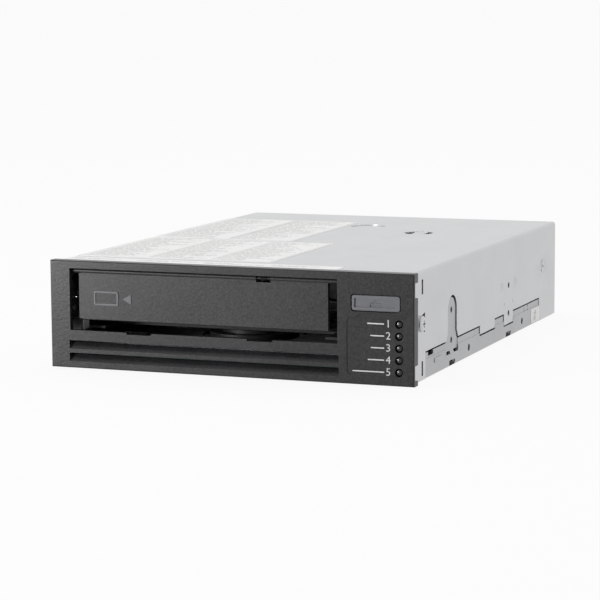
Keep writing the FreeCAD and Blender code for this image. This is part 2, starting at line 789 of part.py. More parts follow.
def bezel_rear_holes():
    """Holes for the hinge rod, the side screws and the board screws."""
    rod = rod_x(hinge_rod_radius + hinge_clearance, hinge_y, hinge_z, slot_left - 1.6, slot_right + 1.6)
    side = rod_x(tapped_radius, datum + bezel_screw_row, pan_bottom + bezel_screw_height, wall_inside - 4,
                 half_width)
    posts = [rod_y(0.8, post_x, z, front + bezel_face, depth(front_board_depth) + 1) for z in post_heights]
    return [rod, *both_sides(side), *posts]


def cartridge_door():
    """Door flap hanging from its barrel, with a set-back strip along its left edge and stiffening ribs."""
    left, right = bay_x - door_width / 2, bay_x + door_width / 2
    low = hinge_z - door_length
    y0 = depth(door_recess)
    y1 = y0 + door_thick
    flap = block(left, right, y0, y1, low, hinge_z)
    lower_edges = [e for e in flap.Edges if abs(e.BoundBox.ZMax - low) < 1e-6 and e.BoundBox.XLength > 1]
    flap = flap.makeFillet(0.35, lower_edges)
    strip = block(left - door_cheek, left + 1, y0 + door_thick / 2, y1, low + 0.3, hinge_z)
    strip = rounded(strip, 0.35, Vector(0, 1, 0))
    half = barrel_width / 2
    barrel = rod_x(barrel_radius, hinge_y, hinge_z, bay_x - half, bay_x + half)
    ribs = [block(x - 0.5, x + 0.5, y1 - 0.1, y1 + 0.9, low + 1.0, hinge_z - 2.0)
            for x in (left + 12.0, bay_x, right - 12.0)]
    leg = spring_ends()[0]
    groove = block(leg - spring_wire - 0.1, leg + spring_wire + 0.1, spring_leg_y() - spring_wire - 0.02, y1 + 1,
                   hinge_z - spring_leg - 0.3, hinge_z)
    body = joined(flap, strip, barrel, *ribs)
    room = block(bay_x + spring_place, bay_x + spring_place + spring_room, y0 + 0.4, y1 + 2,
                 hinge_z - spring_radius - 0.7, hinge_z + barrel_radius + 1)
    front_room = block(bay_x + spring_place, bay_x + spring_place + spring_room, y0 - 1, y0 + 1,
                       hinge_z - spring_radius - 0.7, hinge_z + barrel_radius + 1)
    bore = rod_x(hinge_rod_radius + hinge_clearance, hinge_y, hinge_z, slot_left - 5, slot_right + 5)
    return body.cut([room, front_room, groove, bore]).removeSplitter()


def spring_pitch():
    """Distance from one turn of the door's spring to the next."""
    return 2 * spring_wire + 0.15


def spring_ends():
    """The two ends of the door spring's coil along X."""
    length = spring_turns * spring_pitch()
    start = bay_x + spring_place + (spring_room - length) / 2
    return start, start + length


def spring_leg_y():
    """The plane of the spring's two straight legs."""
    return hinge_y + spring_radius


def hinge_rod():
    """Steel rod that the door turns on, held by the bezel's ears."""
    return rod_x(hinge_rod_radius, hinge_y, hinge_z, slot_left - 1.5, slot_right + 1.5)


def bent_wire(points, radius):
    """Six-sided spring wire through a row of points, mitred where it turns."""
    rings = []
    side = Vector(1, 0, 0)
    for before, point, after in zip(points[:1] + points, points, points[1:] + points[-1:]):
        ahead = (after - before).normalize()
        side = (side - ahead * side.dot(ahead)).normalize()
        up = ahead.cross(side)
        rings.append([point + side * (radius * math.cos(k * math.pi / 3)) + up * (radius * math.sin(k * math.pi / 3))
                      for k in range(6)])
    corners = [rings[0][::-1], rings[-1]]
    for near, far in zip(rings, rings[1:]):
        for k in range(6):
            corners.append([near[k - 1], near[k], far[k]])
            corners.append([near[k - 1], far[k], far[k - 1]])
    faces = [Part.Face(Part.makePolygon(ring + ring[:1])) for ring in corners]
    return Part.makeSolid(Part.makeShell(faces))


def coil_points(turns, length, radius):
    """Points along a coil round +Z from the origin, which starts on the +X side and heads for +Y."""
    count = turns * coil_sides
    return [Vector(radius * math.cos(2 * math.pi * k / coil_sides), radius * math.sin(2 * math.pi * k / coil_sides),
                   length * k / count) for k in range(count + 1)]


def door_spring():
    """Torsion spring round the hinge rod, with one leg behind the door and one behind the bezel's stop."""
    x0, x1 = spring_ends()
    coil = coil_points(spring_turns, x1 - x0, spring_radius)
    lower = coil[0] + Vector(0, -spring_leg, 0)
    upper = coil[-1] + Vector(0, bezel_top - bezel_rim - spring_stop - hinge_z, 0)
    spring = bent_wire([lower] + coil + [upper], spring_wire)
    spring.rotate(Vector(0, 0, 0), Vector(1, 1, 1), 120)
    spring.translate(Vector(x0, hinge_y, hinge_z))
    return spring


def eject_button():
    """Hollow key cap with a raised rim, an eject mark in its sunk field, a stop flange and a plunger."""
    width, high = button_width / 2, button_height / 2
    y0 = front + 0.1
    cap = block(button_x - width, button_x + width, y0, front + bezel_face + 0.5, button_z - high, button_z + high)
    cap = rounded(cap, button_round, Vector(0, 1, 0))
    rim_edges = [e for e in cap.Edges if abs(e.BoundBox.YMax - y0) < 1e-6]
    cap = cap.makeFillet(0.3, rim_edges)
    field = block(button_x - width + button_rim, button_x + width - button_rim - 0.9, y0 - 1, y0 + button_sink,
                  button_z - high + button_rim + 0.25, button_z + high - button_rim - 0.25)
    stop = block(button_x - width - 0.9, button_x + width + 0.9, front + bezel_face + 0.15,
                 front + bezel_face + 0.9, button_z - high - 0.7, button_z + high + 0.7)
    tip = depth(front_board_depth) - switch_tall - switch_gap - button_travel
    plunger = rod_y(1.1, button_x, button_z, front + bezel_face + 0.5, tip)
    mark_z = button_z - 0.55
    arrow = outline([(button_x - 2.4, mark_z + 0.35), (button_x + 2.4, mark_z + 0.35), (button_x, mark_z + 1.7)],
                    "Y", y0 + button_sink, 0.3)
    bar = block(button_x - 2.5, button_x + 2.5, y0 + button_sink, y0 + button_sink + 0.3, mark_z - 1.0, mark_z)
    return joined(cap.cut(field), stop, plunger).cut([arrow, bar]).removeSplitter()


def button_spring():
    """Coil spring round the button's plunger, between its stop flange and the switch."""
    y0, y1 = front + bezel_face + 0.95, depth(front_board_depth) - switch_tall - 0.05
    spring = bent_wire(coil_points(button_turns, y1 - y0 - 2 * button_wire, button_coil), button_wire)
    spring.rotate(Vector(0, 0, 0), Vector(1, 0, 0), -90)
    spring.translate(Vector(button_x, y0 + button_wire, button_z))
    return spring


def lamp_lenses():
    """Smoked lens rods in the five lamp holes, domed in front and flanged behind the face plate."""
    stem, collar = lamp_radius - lamp_fit, lamp_radius + 0.25
    tip, rim = front + 0.45, front + 1.1
    back = front + bezel_face
    profile = [Vector(stem, rim, 0), Vector(stem, back, 0), Vector(collar, back, 0), Vector(collar, back + 0.7, 0),
               Vector(stem, back + 0.7, 0), Vector(stem, back + 2.0, 0), Vector(0, back + 2.0, 0),
               Vector(0, tip, 0)]
    profile.append(Vector(stem * 0.6, tip + (rim - tip) * 0.3, 0))
    lens = Part.Face(Part.makePolygon(profile + profile[:1])).revolve(Vector(0, 0, 0), Vector(0, 1, 0), 360)
    lenses = []
    for z in lamp_heights():
        copy = lens.copy()
        copy.translate(Vector(lamp_x, 0, z))
        lenses.append(copy)
    return lenses


# ================================================================ boards
def front_board():
    """Upright board behind the bezel that carries the lamps and the eject switch."""
    y0 = depth(front_board_depth)
    board = block(panel_x - front_board_left, panel_x + front_board_right, y0, y0 + front_board_thick,
                  front_board_low, front_board_high)
    holes = [rod_y(0.95, post_x, z, y0 - 1, y0 + 3) for z in post_heights]
    return board.cut(holes)


def board_screws():
    """Two small screws that hold the front board on the bezel's posts."""
    y0 = depth(front_board_depth) + front_board_thick
    return [rod_y(1.6, post_x, z, y0, y0 + 1.1).fuse(rod_y(0.75, post_x, z, y0 - 4.0, y0)) for z in post_heights]


def status_leds():
    """Five surface-mount LEDs in line with the lenses."""
    y1 = depth(front_board_depth)
    return [joined(block(lamp_x - 0.8, lamp_x + 0.8, y1 - 0.7, y1, z - 1.0, z + 1.0), rod_y(0.6, lamp_x, z,
                                                                                       y1 - 1.1, y1 - 0.6))
            for z in lamp_heights()]


def eject_switch():
    """Tact switch behind the eject button."""
    y1 = depth(front_board_depth)
    body = block(button_x - 3, button_x + 3, y1 - switch_tall + 0.5, y1, button_z - 3, button_z + 3)
    return joined(body, rod_y(1.5, button_x, button_z, y1 - switch_tall, y1 - switch_tall + 0.5))


def main_board():
    """Main circuit board under the deck, cut out round the motors and the deck's legs."""
    board = block(-board_half, board_half, depth(board_front), depth(board_rear), board_bottom, board_top)
    low, high = board_bottom - 1, board_top + 1
    holes = [rod_z(motor_flange_radius + 0.6, bay_x, hub_y, low, high),
             rod_z(motor_flange_radius + 0.6, takeup_x, takeup_y, low, high),
             rod_z(6.2, *screw_place(), low, high)]
    holes += [rod_z(leg_radius + 0.3, x, depth(row), low, high) for x, row in deck_legs]
    holes += [rod_z(boss_thread + 0.15, x, depth(row), low, high) for x, row in board_bosses]
    return board.cut(holes)


def main_board_screws():
    """Screws that hold the main board on the pan's bosses."""
    return [joined(rod_z(boss_thread - 0.05, x, depth(row), pan_bottom + 0.2, board_top + 0.1),
                   rod_z(boss_radius - 0.3, x, depth(row), board_top, board_top + 1.2)) for x, row in board_bosses]


board_chips = (
    (-44.0, 116.0, 18.0, 18.0, 1.5), (-46.0, 100.0, 12.0, 9.0, 1.0), (-18.0, 105.0, 14.0, 14.0, 1.4),
    (10.0, 103.0, 10.0, 7.0, 1.0), (38.0, 86.0, 14.0, 14.0, 1.5), (44.0, 58.0, 9.0, 7.0, 1.2),
    (30.0, 110.0, 8.0, 5.0, 1.0), (-50.0, 60.0, 9.0, 12.0, 1.2), (-30.0, 172.0, 12.0, 9.0, 1.2),
)


def chips():
    """Packages on the top of the main board."""
    return [block(x - w / 2, x + w / 2, depth(row) - h / 2, depth(row) + h / 2, board_top, board_top + t)
            for x, row, w, h, t in board_chips]


def sas_connector():
    """Host connector: a shell open to the rear with a contact tongue inside."""
    y1 = rear - 0.1
    shell = block(sas_x - sas_width / 2, sas_x + sas_width / 2, y1 - socket_length, y1, board_top,
                  board_top + sas_height)
    mouth = block(sas_x - sas_width / 2 + sas_wall, sas_x + sas_width / 2 - sas_wall, y1 - 6.0, y1 + 1,
                  board_top + sas_wall, board_top + sas_height - sas_wall)
    middle = board_top + sas_height / 2
    blade = block(sas_x - 18.0, sas_x + 12.0, y1 - 6.5, y1 - 0.8, middle - 0.7, middle + 0.7)
    power = block(sas_x + 13.5, sas_x + 18.0, y1 - 6.5, y1 - 0.8, middle - 0.7, middle + 0.7)
    return joined(shell.cut(mouth), blade, power)


def bus_connector():
    """Library interface connector: a shrouded header with two rows of five pins."""
    y1 = rear - 0.1
    shell = block(bus_x - bus_width / 2, bus_x + bus_width / 2, y1 - socket_length, y1, board_top,
                  board_top + bus_height)
    mouth = block(bus_x - bus_width / 2 + 1.0, bus_x + bus_width / 2 - 1.0, y1 - 6.0, y1 + 1, board_top + 0.8,
                  board_top + bus_height - 0.8)
    pins = [block(bus_x + (column - 2) * 3.0 - 0.3, bus_x + (column - 2) * 3.0 + 0.3, y1 - 6.5, y1 - 1.0,
                  board_top + level - 0.3, board_top + level + 0.3) for column in range(5) for level in (2.0, 4.0)]
    return joined(shell.cut(mouth), *pins)


ribbon_x = panel_x + 0.9
ribbon_half = 4.6
ribbon_thick = 0.3
ribbon_start = 9.5
ribbon_end = 24.0
ribbon_bend = 2.5


def front_ribbon():
    """Flat cable from the front board down to the main board."""
    y0 = depth(front_board_depth) + front_board_thick + 0.9
    z0 = board_top
    yb, zb = y0 + ribbon_bend, z0 + ribbon_bend
    inner = ribbon_bend - ribbon_thick
    s = math.sqrt(0.5)
    outer_arc = Part.Arc(Vector(0, y0, zb), Vector(0, yb - ribbon_bend * s, zb - ribbon_bend * s), Vector(0, yb, z0))
    inner_arc = Part.Arc(Vector(0, yb, z0 + ribbon_thick), Vector(0, yb - inner * s, zb - inner * s),
                         Vector(0, y0 + ribbon_thick, zb))
    end, top = depth(ribbon_end), ribbon_start
    lines = [Part.LineSegment(Vector(0, yb, z0), Vector(0, end, z0)),
             Part.LineSegment(Vector(0, end, z0), Vector(0, end, z0 + ribbon_thick)),
             Part.LineSegment(Vector(0, end, z0 + ribbon_thick), Vector(0, yb, z0 + ribbon_thick)),
             Part.LineSegment(Vector(0, y0 + ribbon_thick, zb), Vector(0, y0 + ribbon_thick, top)),
             Part.LineSegment(Vector(0, y0 + ribbon_thick, top), Vector(0, y0, top)),
             Part.LineSegment(Vector(0, y0, top), Vector(0, y0, zb))]
    order = [outer_arc, lines[0], lines[1], lines[2], inner_arc, lines[3], lines[4], lines[5]]
    body = Part.Face(Part.Wire([piece.toShape() for piece in order])).extrude(Vector(2 * ribbon_half, 0, 0))
    body.translate(Vector(ribbon_x - ribbon_half, 0, 0))
    return body


def ribbon_sockets():
    """The flat cable's sockets on the front board and on the main board."""
    y0 = depth(front_board_depth) + front_board_thick
    half = ribbon_half + 1.0
    upper = block(ribbon_x - half, ribbon_x + half, y0, y0 + 2.2, ribbon_start, ribbon_start + 3.0)
    lower = block(ribbon_x - half, ribbon_x + half, depth(ribbon_end), depth(ribbon_end) + 4.0, board_top,
                  board_top + 1.5)
    return [upper, lower]


# ================================================================ deck and motors
def screw_place():
    """Where the head's lead screw stands."""
    return polar((pivot_x, pivot_y), screw_out, math.radians(head_angle))


def deck():
    """Mechanism deck: a stiff plate on six legs, open over the two reel motors."""
    body = block(-deck_half, deck_half, depth(deck_front), depth(deck_rear), deck_bottom, deck_top)
    body = rounded(body, 3.0, Vector(0, 0, 1))
    legs = [rod_z(leg_radius, x, depth(row), pan_top, deck_bottom + 0.1) for x, row in deck_legs]
    body = joined(body, *legs)
    low, high = deck_bottom - 1, deck_top + 1
    holes = [rod_z(motor_radius + 0.3, bay_x, hub_y, low, high), rod_z(motor_radius + 0.3, takeup_x, takeup_y,
                                                                       low, high)]
    holes.append(rod_z(screw_radius + 0.2, *screw_place(), low, high))
    holes += [rod_z(leg_screw_radius + 0.03, x, depth(row), pan_top - 1, deck_bottom) for x, row in deck_legs]
    for row, side in ((118.0, 1), (36.0, -1), (82.0, -1)):
        x = side * (deck_half - 12.5)
        holes.append(rounded(block(x - 6, x + 6, depth(row) - 9, depth(row) + 9, low, high), 3.0, Vector(0, 0, 1)))
    for x, row in board_openings():
        holes.append(block(x - 6, x + 6, depth(row) - 4, depth(row) + 4, low, high))
    return body.cut(holes).removeSplitter()


def board_openings():
    """Service windows through the deck over the board's connectors: (x, distance from the bezel face)."""
    return ((10.0, 100.0), (-50.0, 176.0))


def reel_motor(x, y):
    """Stator of a reel motor, hung in the deck by its flange, with the shaft's bearing bore."""
    can = rod_z(motor_radius, x, y, deck_bottom - motor_depth, deck_bottom + motor_rise)
    lip = rod_z(motor_flange_radius, x, y, deck_bottom - motor_flange_thick, deck_bottom)
    bore = rod_z(shaft_radius + 0.05, x, y, deck_bottom - motor_depth + 0.8, deck_top + 2)
    return joined(can, lip).cut(bore).removeSplitter()


def rotor_bottom():
    """Underside of the rotors, just clear of the stators."""
    return deck_bottom + motor_rise + 0.3


def supply_clutch():
    """Rotor with a ring of face teeth that drives the cartridge's hub."""
    z0 = rotor_bottom()
    seat = floor_top - lift_drop + 0.2
    shaft = rod_z(shaft_radius, bay_x, hub_y, deck_bottom - motor_depth + 1.0, z0 + 0.1)
    disc = rod_z(clutch_radius, bay_x, hub_y, z0, seat - 1.4)
    boss = rod_z(13.0, bay_x, hub_y, seat - 1.5, seat)
    ring = rod_z(12.0, bay_x, hub_y, seat - 0.1, seat + 1.6).cut(rod_z(8.6, bay_x, hub_y, seat - 1, seat + 2))
    step = 360.0 / clutch_teeth
    gap = outline([(8.0, -0.35), (12.8, -0.95), (12.8, 0.95), (8.0, 0.35)], "Z", seat + 0.1, 2.0)
    gaps = []
    for tooth in range(clutch_teeth):
        cutter = gap.copy()
        cutter.rotate(Vector(0, 0, 0), Vector(0, 0, 1), tooth * step)
        cutter.translate(Vector(bay_x, hub_y, 0))
        gaps.append(cutter)
    magnet = rod_z(5.0, bay_x, hub_y, seat - 0.1, seat + 0.7)
    return joined(shaft, disc, boss, ring.cut(gaps), magnet)


def takeup_reel():
    """Take-up reel: hub with the leader pin's slot, and its lower flange."""
    z0 = rotor_bottom()
    shaft = rod_z(shaft_radius, takeup_x, takeup_y, deck_bottom - motor_depth + 1.0, z0 + 0.1)
    hub = rod_z(reel_hub_radius, takeup_x, takeup_y, z0, path_top)
    well = rod_z(reel_hub_radius - 5.0, takeup_x, takeup_y, path_bottom + 3.0, path_top + 1)
    nose = rod_z(4.0, takeup_x, takeup_y, path_bottom + 2.9, path_top + reel_flange + 1.2)
    lower = rod_z(reel_radius, takeup_x, takeup_y, path_bottom - reel_flange, path_bottom)
    slot = block(takeup_x - reel_hub_radius - 1, takeup_x - 6.0, takeup_y - 3.0, takeup_y + 3.0, path_bottom + 0.8,
                 path_top + 1)
    windows = []
    for spoke in range(3):
        window = rod_z(8.0, takeup_x + 33.0, takeup_y, path_bottom - 3, path_bottom + 1)
        window.rotate(Vector(takeup_x, takeup_y, 0), Vector(0, 0, 1), 120 * spoke)
        windows.append(window)
    return joined(shaft, hub.cut(well).cut(slot), lower.cut(windows), nose)


def takeup_flange():
    """Upper flange of the take-up reel, slotted from rim to hub for the leader pin."""
    z0, z1 = path_top, path_top + reel_flange
    flange_disc = rod_z(reel_radius, takeup_x, takeup_y, z0, z1)
    flange_disc = flange_disc.cut(rod_z(reel_hub_radius - 5.0, takeup_x, takeup_y, z0 - 1, z1 + 1))
    entry = block(takeup_x - reel_radius - 1, takeup_x - 6.0, takeup_y - 3.0, takeup_y + 3.0, z0 - 1, z1 + 1)
    cuts = [entry]
    for spoke in range(3):
        window = rod_z(8.0, takeup_x + 33.0, takeup_y, z0 - 1, z1 + 1)
        window.rotate(Vector(takeup_x, takeup_y, 0), Vector(0, 0, 1), 120 * spoke)
        cuts.append(window)
    return flange_disc.cut(cuts)


# ================================================================ cartridge carrier and cam slider
def carrier():
    """Cartridge carrier: a folded tray with floor ledges, two cross straps and two side walls."""
    y0, y1 = depth(carrier_front), depth(carrier_rear)
    bottom = floor_top - carrier_sheet
    floor = block(bay_x - carrier_outside, bay_x + carrier_outside, y0, y1, bottom, floor_top)
    middle = carrier_outside - carrier_ledge
    mouth = block(bay_x - middle, bay_x + middle, y0 - 1, depth(26.0), bottom - 1, floor_top + 1)
    well = block(bay_x - middle, bay_x + middle, depth(34.0), depth(86.0), bottom - 1, floor_top + 1)
    floor = floor.cut([mouth, rounded(well, 4.0, Vector(0, 0, 1))])
    wall = outline([(y0, bottom), (y1, bottom), (y1, bottom + carrier_wall_height),
                    (y0 + 10.0, bottom + carrier_wall_height), (y0, bottom + 9.0)], "X",
                   bay_x + carrier_inside, carrier_sheet)
    over = floor_top + cartridge_height + carrier_over
    lip = block(bay_x + carrier_inside - 3.0, bay_x + carrier_outside, depth(40.0), y1 - 4.0, over,
                over + carrier_sheet)
    post = block(bay_x + carrier_inside, bay_x + carrier_outside, depth(40.0), y1 - 4.0,
                 bottom + carrier_wall_height - 0.1, over + carrier_sheet)
    return joined(floor, *both_sides(wall, bay_x), *both_sides(lip, bay_x), *both_sides(post, bay_x))


def carrier_pins():
    """Four pins riveted to the carrier's walls, which run in the frames and the cam plates."""
    pins = []
    for row in pin_rows:
        pin = rod_x(pin_radius, depth(row), pin_z, bay_x + carrier_outside, bay_x + cam_outside + 0.3)
        pins += both_sides(pin, bay_x)
    return pins


def entry_guides():
    """Nylon lead-in shoes at the front of the carrier, beside the cartridge's path."""
    x1 = bay_x - carrier_inside
    y0 = depth(carrier_front) - 3.6
    shoe = outline([(x1 - carrier_sheet, y0), (x1 - 0.3, y0), (x1, y0 + 2.6), (x1, depth(carrier_front) - 0.02),
                    (x1 - carrier_sheet, depth(carrier_front) - 0.02)], "Z", floor_top - carrier_sheet, 3.6)
    return both_sides(shoe, bay_x)


def guide_frame():
    """Right fixed frame of the loader: upright slots for the carrier's pins, a window for the strap, a foot."""
    x0, x1 = bay_x + frame_inside, bay_x + frame_outside
    y0, y1 = depth(frame_front), depth(frame_rear)
    upright = block(x0, x1, y0, y1, deck_top, deck_top + frame_height)
    foot = block(x1 - 0.1, x1 + flange, y0, y1, deck_top, deck_top + plate)
    studs = []
    for row in stud_rows:
        z = cam_bottom + stud_height
        studs.append(rod_x(stud_radius, depth(row), z, x1 - 0.1, bay_x + cam_outside + 0.3))
        studs.append(rod_x(stud_radius + 1.0, depth(row), z, bay_x + cam_outside + 0.3, bay_x + cam_outside + 0.9))
    body = joined(upright, foot, *studs)
    cuts = [stadium_x(depth(row), pin_z, depth(row), pin_z - lift_drop, pin_radius + pin_play, x0 - 1, x1 + 0.45)
            for row in pin_rows]
    cuts.append(block(x0 - 1, x1 + flange + 1, depth(strap_front) - 1.0,
                      depth(strap_front + strap_width) + slide_travel + 1.0, deck_top - 1, cam_bottom + 0.4))
    cuts.append(block(x0 - 1, x1 + 0.45, depth(54.0), depth(70.0), deck_top + 9.0, deck_top + frame_height - 5.0))
    return body.cut(cuts).removeSplitter()


def cam_plate():
    """Right cam plate: slanted slots that lower the carrier, and level slots for the guide studs."""
    x0, x1 = bay_x + cam_inside, bay_x + cam_outside
    upper = cam_bottom + cam_height
    body = outline([(depth(cam_front), cam_bottom), (depth(cam_rear), cam_bottom), (depth(cam_rear), upper),
                    (depth(pin_rows[1]) - 12.0, upper), (depth(pin_rows[1]) - 17.0, upper - 9.0),
                    (depth(pin_rows[0]) + 13.0, upper - 9.0), (depth(pin_rows[0]) + 8.0, upper),
                    (depth(cam_front), upper)], "X", x0, x1 - x0)
    cuts = []
    for row in pin_rows:
        cuts.append(stadium_x(depth(row), pin_z, depth(row) - slide_travel, pin_z - lift_drop,
                              pin_radius + pin_play, x0 - 1, x1 + 1))
    for row in stud_rows:
        z = cam_bottom + stud_height
        cuts.append(stadium_x(depth(row), z, depth(row) - slide_travel, z, stud_radius + pin_play, x0 - 1, x1 + 1))
    return body.cut(cuts)


def slider_strap():
    """Cross strap that ties the two cam plates together under the carrier."""
    y0 = depth(strap_front)
    return block(bay_x - cam_outside, bay_x + cam_outside, y0, y0 + strap_width, cam_bottom - 1.0, cam_bottom)


def cam_feet():
    """How far forward the cam plates reach to stand on the strap."""
    y0 = depth(strap_front)
    foot = block(bay_x + cam_inside, bay_x + cam_outside, y0, depth(cam_front) + 0.1, cam_bottom, cam_bottom + 4.0)
    return foot


def rack():
    """Rack on the outer face of the right cam plate."""
    x0 = bay_x + cam_outside
    pitch_z = cam_bottom + rack_height
    pitch = math.pi * load_module
    count = int(rack_length / pitch)
    middle = depth(pinion_row) - slide_travel / 2
    first = depth(pinion_row) - math.floor(count / 2 + slide_travel / 2 / pitch) * pitch
    half = pitch / 4 - backlash / 2
    lean = math.tan(pressure)
    points = [(first - pitch / 2, cam_bottom + 0.4), (first - pitch / 2, pitch_z - dedendum * load_module)]
    for tooth in range(count):
        y = first + tooth * pitch
        points += [(y - half - dedendum * load_module * lean, pitch_z - dedendum * load_module),
                   (y - half + addendum * load_module * lean, pitch_z + addendum * load_module),
                   (y + half - addendum * load_module * lean, pitch_z + addendum * load_module),
                   (y + half + dedendum * load_module * lean, pitch_z - dedendum * load_module)]
    last = first + (count - 0.5) * pitch
    points += [(last, pitch_z - dedendum * load_module), (last, cam_bottom + 0.4)]
    return outline(points, "X", x0, rack_thick)


# ================================================================ load gears
small_pitch = load_module * small_teeth / 2
large_pitch = load_module * large_teeth / 2
centre_distance = small_pitch + large_pitch
gear_plane = bay_x + cam_outside + 0.3      # the last pinion starts here, beside the cam plate
plane_one = gear_plane + rack_thick + gear_gap
plane_two = plane_one + gear_thick + gear_gap
bracket_x = plane_two + gear_thick + 1.2
last_gear = (depth(pinion_row), cam_bottom + rack_height + small_pitch)
first_gear = polar(last_gear, centre_distance, train_angle)
motor_axis = polar(first_gear, centre_distance, 0.0)
last_phase = -math.pi / 2 + math.pi / small_teeth
first_small_phase = matched_phase(train_angle, last_phase, large_teeth, small_teeth)
first_large_phase = 0.0
motor_phase = matched_phase(0.0, first_large_phase, large_teeth, small_teeth)


def compound_gear(centre, large_phase, small_phase, small_from, large_from):
    """A large gear with a small one beside it, bored to run on its stud."""
    large = gear_x(load_module, large_teeth, large_phase, *centre, large_from, large_from + gear_thick)
    small = gear_x(load_module, small_teeth, small_phase, *centre, small_from, large_from)
    bore = rod_x(gear_stud_radius + gear_clearance, *centre, small_from - 1, large_from + gear_thick + 1)
    return joined(large, small).cut(bore)


def last_load_gear():
    """Compound gear whose small side drives the rack."""
    return compound_gear(last_gear, last_phase, last_phase, gear_plane, plane_one)


def first_load_gear():
    """Compound gear between the motor's pinion and the last gear."""
    return compound_gear(first_gear, first_large_phase, first_small_phase, plane_one, plane_two)


def motor_pinion():
    """Pinion on the load motor's shaft."""
    teeth = gear_x(load_module, small_teeth, motor_phase, *motor_axis, plane_two, plane_two + gear_thick)
    shaft = rod_x(motor_shaft_radius, *motor_axis, plane_two, bracket_x + plate + 2.8)
    return joined(teeth, shaft)


def gear_bracket():
    """Upright bracket that carries the gear studs and the load motor."""
    y0, y1 = last_gear[0] - 6.0, motor_axis[0] + load_motor_radius + 2.0
    top = motor_axis[1] + load_motor_radius + 1.0
    upright = outline([(y0, deck_top), (y1, deck_top), (y1, top), (first_gear[0] - 6.0, top),
                       (y0, last_gear[1] + 6.0)], "X", bracket_x, plate)
    foot = block(bracket_x, bracket_x + 9.0, y0, y1, deck_top, deck_top + plate)
    studs = [rod_x(gear_stud_radius, *last_gear, gear_plane, bracket_x + 0.1),
             rod_x(gear_stud_radius, *first_gear, plane_one - 0.3, bracket_x + 0.1)]
    shaft_hole = rod_x(2.4, *motor_axis, bracket_x - 1, bracket_x + plate + 1)
    return joined(upright, foot, *studs).cut(shaft_hole).removeSplitter()


def load_motor():
    """Can motor with its axle across the drive."""
    x0 = bracket_x + plate
    can = rod_x(load_motor_radius, *motor_axis, x0, x0 + load_motor_length)
    rear_edge = [e for e in can.Edges if abs(e.BoundBox.XMin - x0 - load_motor_length) < 1e-6]
    can = can.makeChamfer(0.8, rear_edge)
    collar = rod_x(2.2, *motor_axis, x0 - plate, x0 + 0.1)
    return joined(can, collar).cut(rod_x(motor_shaft_radius + 0.05, *motor_axis, x0 - 2, x0 + 3.0))


# ================================================================ tape path
def around(radius, degrees):
    """A point round the threader's pivot."""
    return polar((pivot_x, pivot_y), radius, math.radians(degrees))


def guide_roller(degrees):
    """Flanged tape guide roller."""
    x, y = around(path_radius, degrees)
    drum = rod_z(roller_radius, x, y, path_bottom - roller_edge, path_top + roller_edge)
    flanges = [rod_z(roller_radius + roller_flange, x, y, path_bottom - roller_edge, path_bottom),
               rod_z(roller_radius + roller_flange, x, y, path_top, path_top + roller_edge)]
    bore = rod_z(post_core + roller_clearance, x, y, path_bottom - 3, path_top + 3)
    return joined(drum, *flanges).cut(bore)


def roller_posts():
    """Posts on the deck that the guide rollers turn on."""
    posts = []
    for degrees in roller_angles:
        x, y = around(path_radius, degrees)
        seat = rod_z(3.0, x, y, deck_top, path_bottom - roller_edge - 0.1)
        core = rod_z(post_core, x, y, deck_top, path_top + roller_edge + 0.4)
        posts.append(joined(seat, core))
    return posts


def turned(body):
    """Turns a body drawn along +X from the pivot to the head's direction, and moves it to the pivot."""
    body.rotate(Vector(0, 0, 0), Vector(0, 0, 1), head_angle)
    body.translate(Vector(pivot_x, pivot_y, 0))
    return body


def head_carriage():
    """Block that carries the head up and down its two rods, with the lead screw's nut."""
    z0, z1 = tape_z - 6.0, tape_z + 6.0
    body = block(carriage_near, carriage_far, -carriage_half, carriage_half, z0, z1)
    nut = block(screw_out - 2.4, carriage_near + 0.1, -2.4, 2.4, tape_z - 2.5, tape_z + 2.5)
    holes = [rod_z(rod_radius + 0.05, rod_out, side * rod_across, z0 - 1, z1 + 1) for side in (-1, 1)]
    holes.append(rod_z(screw_radius + 0.05, screw_out, 0, z0 - 1, z1 + 1))
    return turned(joined(body, nut).cut(holes))


def tape_head():
    """Read and write head: a rounded face block with its two ribs."""
    z0, z1 = tape_z - head_height / 2, tape_z + head_height / 2
    body = block(carriage_far, head_reach - 0.8, -head_half, head_half, z0, z1)
    ribs = [rod_z(0.9, head_reach - 0.9, side * (head_half - 1.3), z0, z1) for side in (-1, 1)]
    return turned(joined(body, *ribs))


def head_rods():
    """Two guide rods that stand on the deck."""
    z1 = arm_bottom - 0.5
    return [turned(rod_z(rod_radius, rod_out, side * rod_across, deck_top, z1)) for side in (-1, 1)]


def lead_screw():
    """Lead screw of the head's coarse positioner, with its driven end in the stepper motor."""
    x, y = screw_place()
    return rod_z(screw_radius, x, y, deck_bottom - 2.6, arm_bottom - 0.5)


def head_stepper():
    """Small stepper motor under the deck that turns the lead screw."""
    x, y = screw_place()
    can = rod_z(5.2, x, y, deck_bottom - 4.4, deck_bottom)
    return can.cut(rod_z(screw_radius + 0.05, x, y, deck_bottom - 2.8, deck_bottom + 1))


thread_small = thread_module * thread_teeth / 2
thread_large = thread_module * arm_teeth / 2
thread_motor_place = polar((pivot_x, pivot_y), thread_small + thread_large, thread_angle)
arm_gear_phase = thread_angle
thread_phase = matched_phase(thread_angle, arm_gear_phase, arm_teeth, thread_teeth)
arm_gear_z = arm_bottom + arm_thick + 0.5


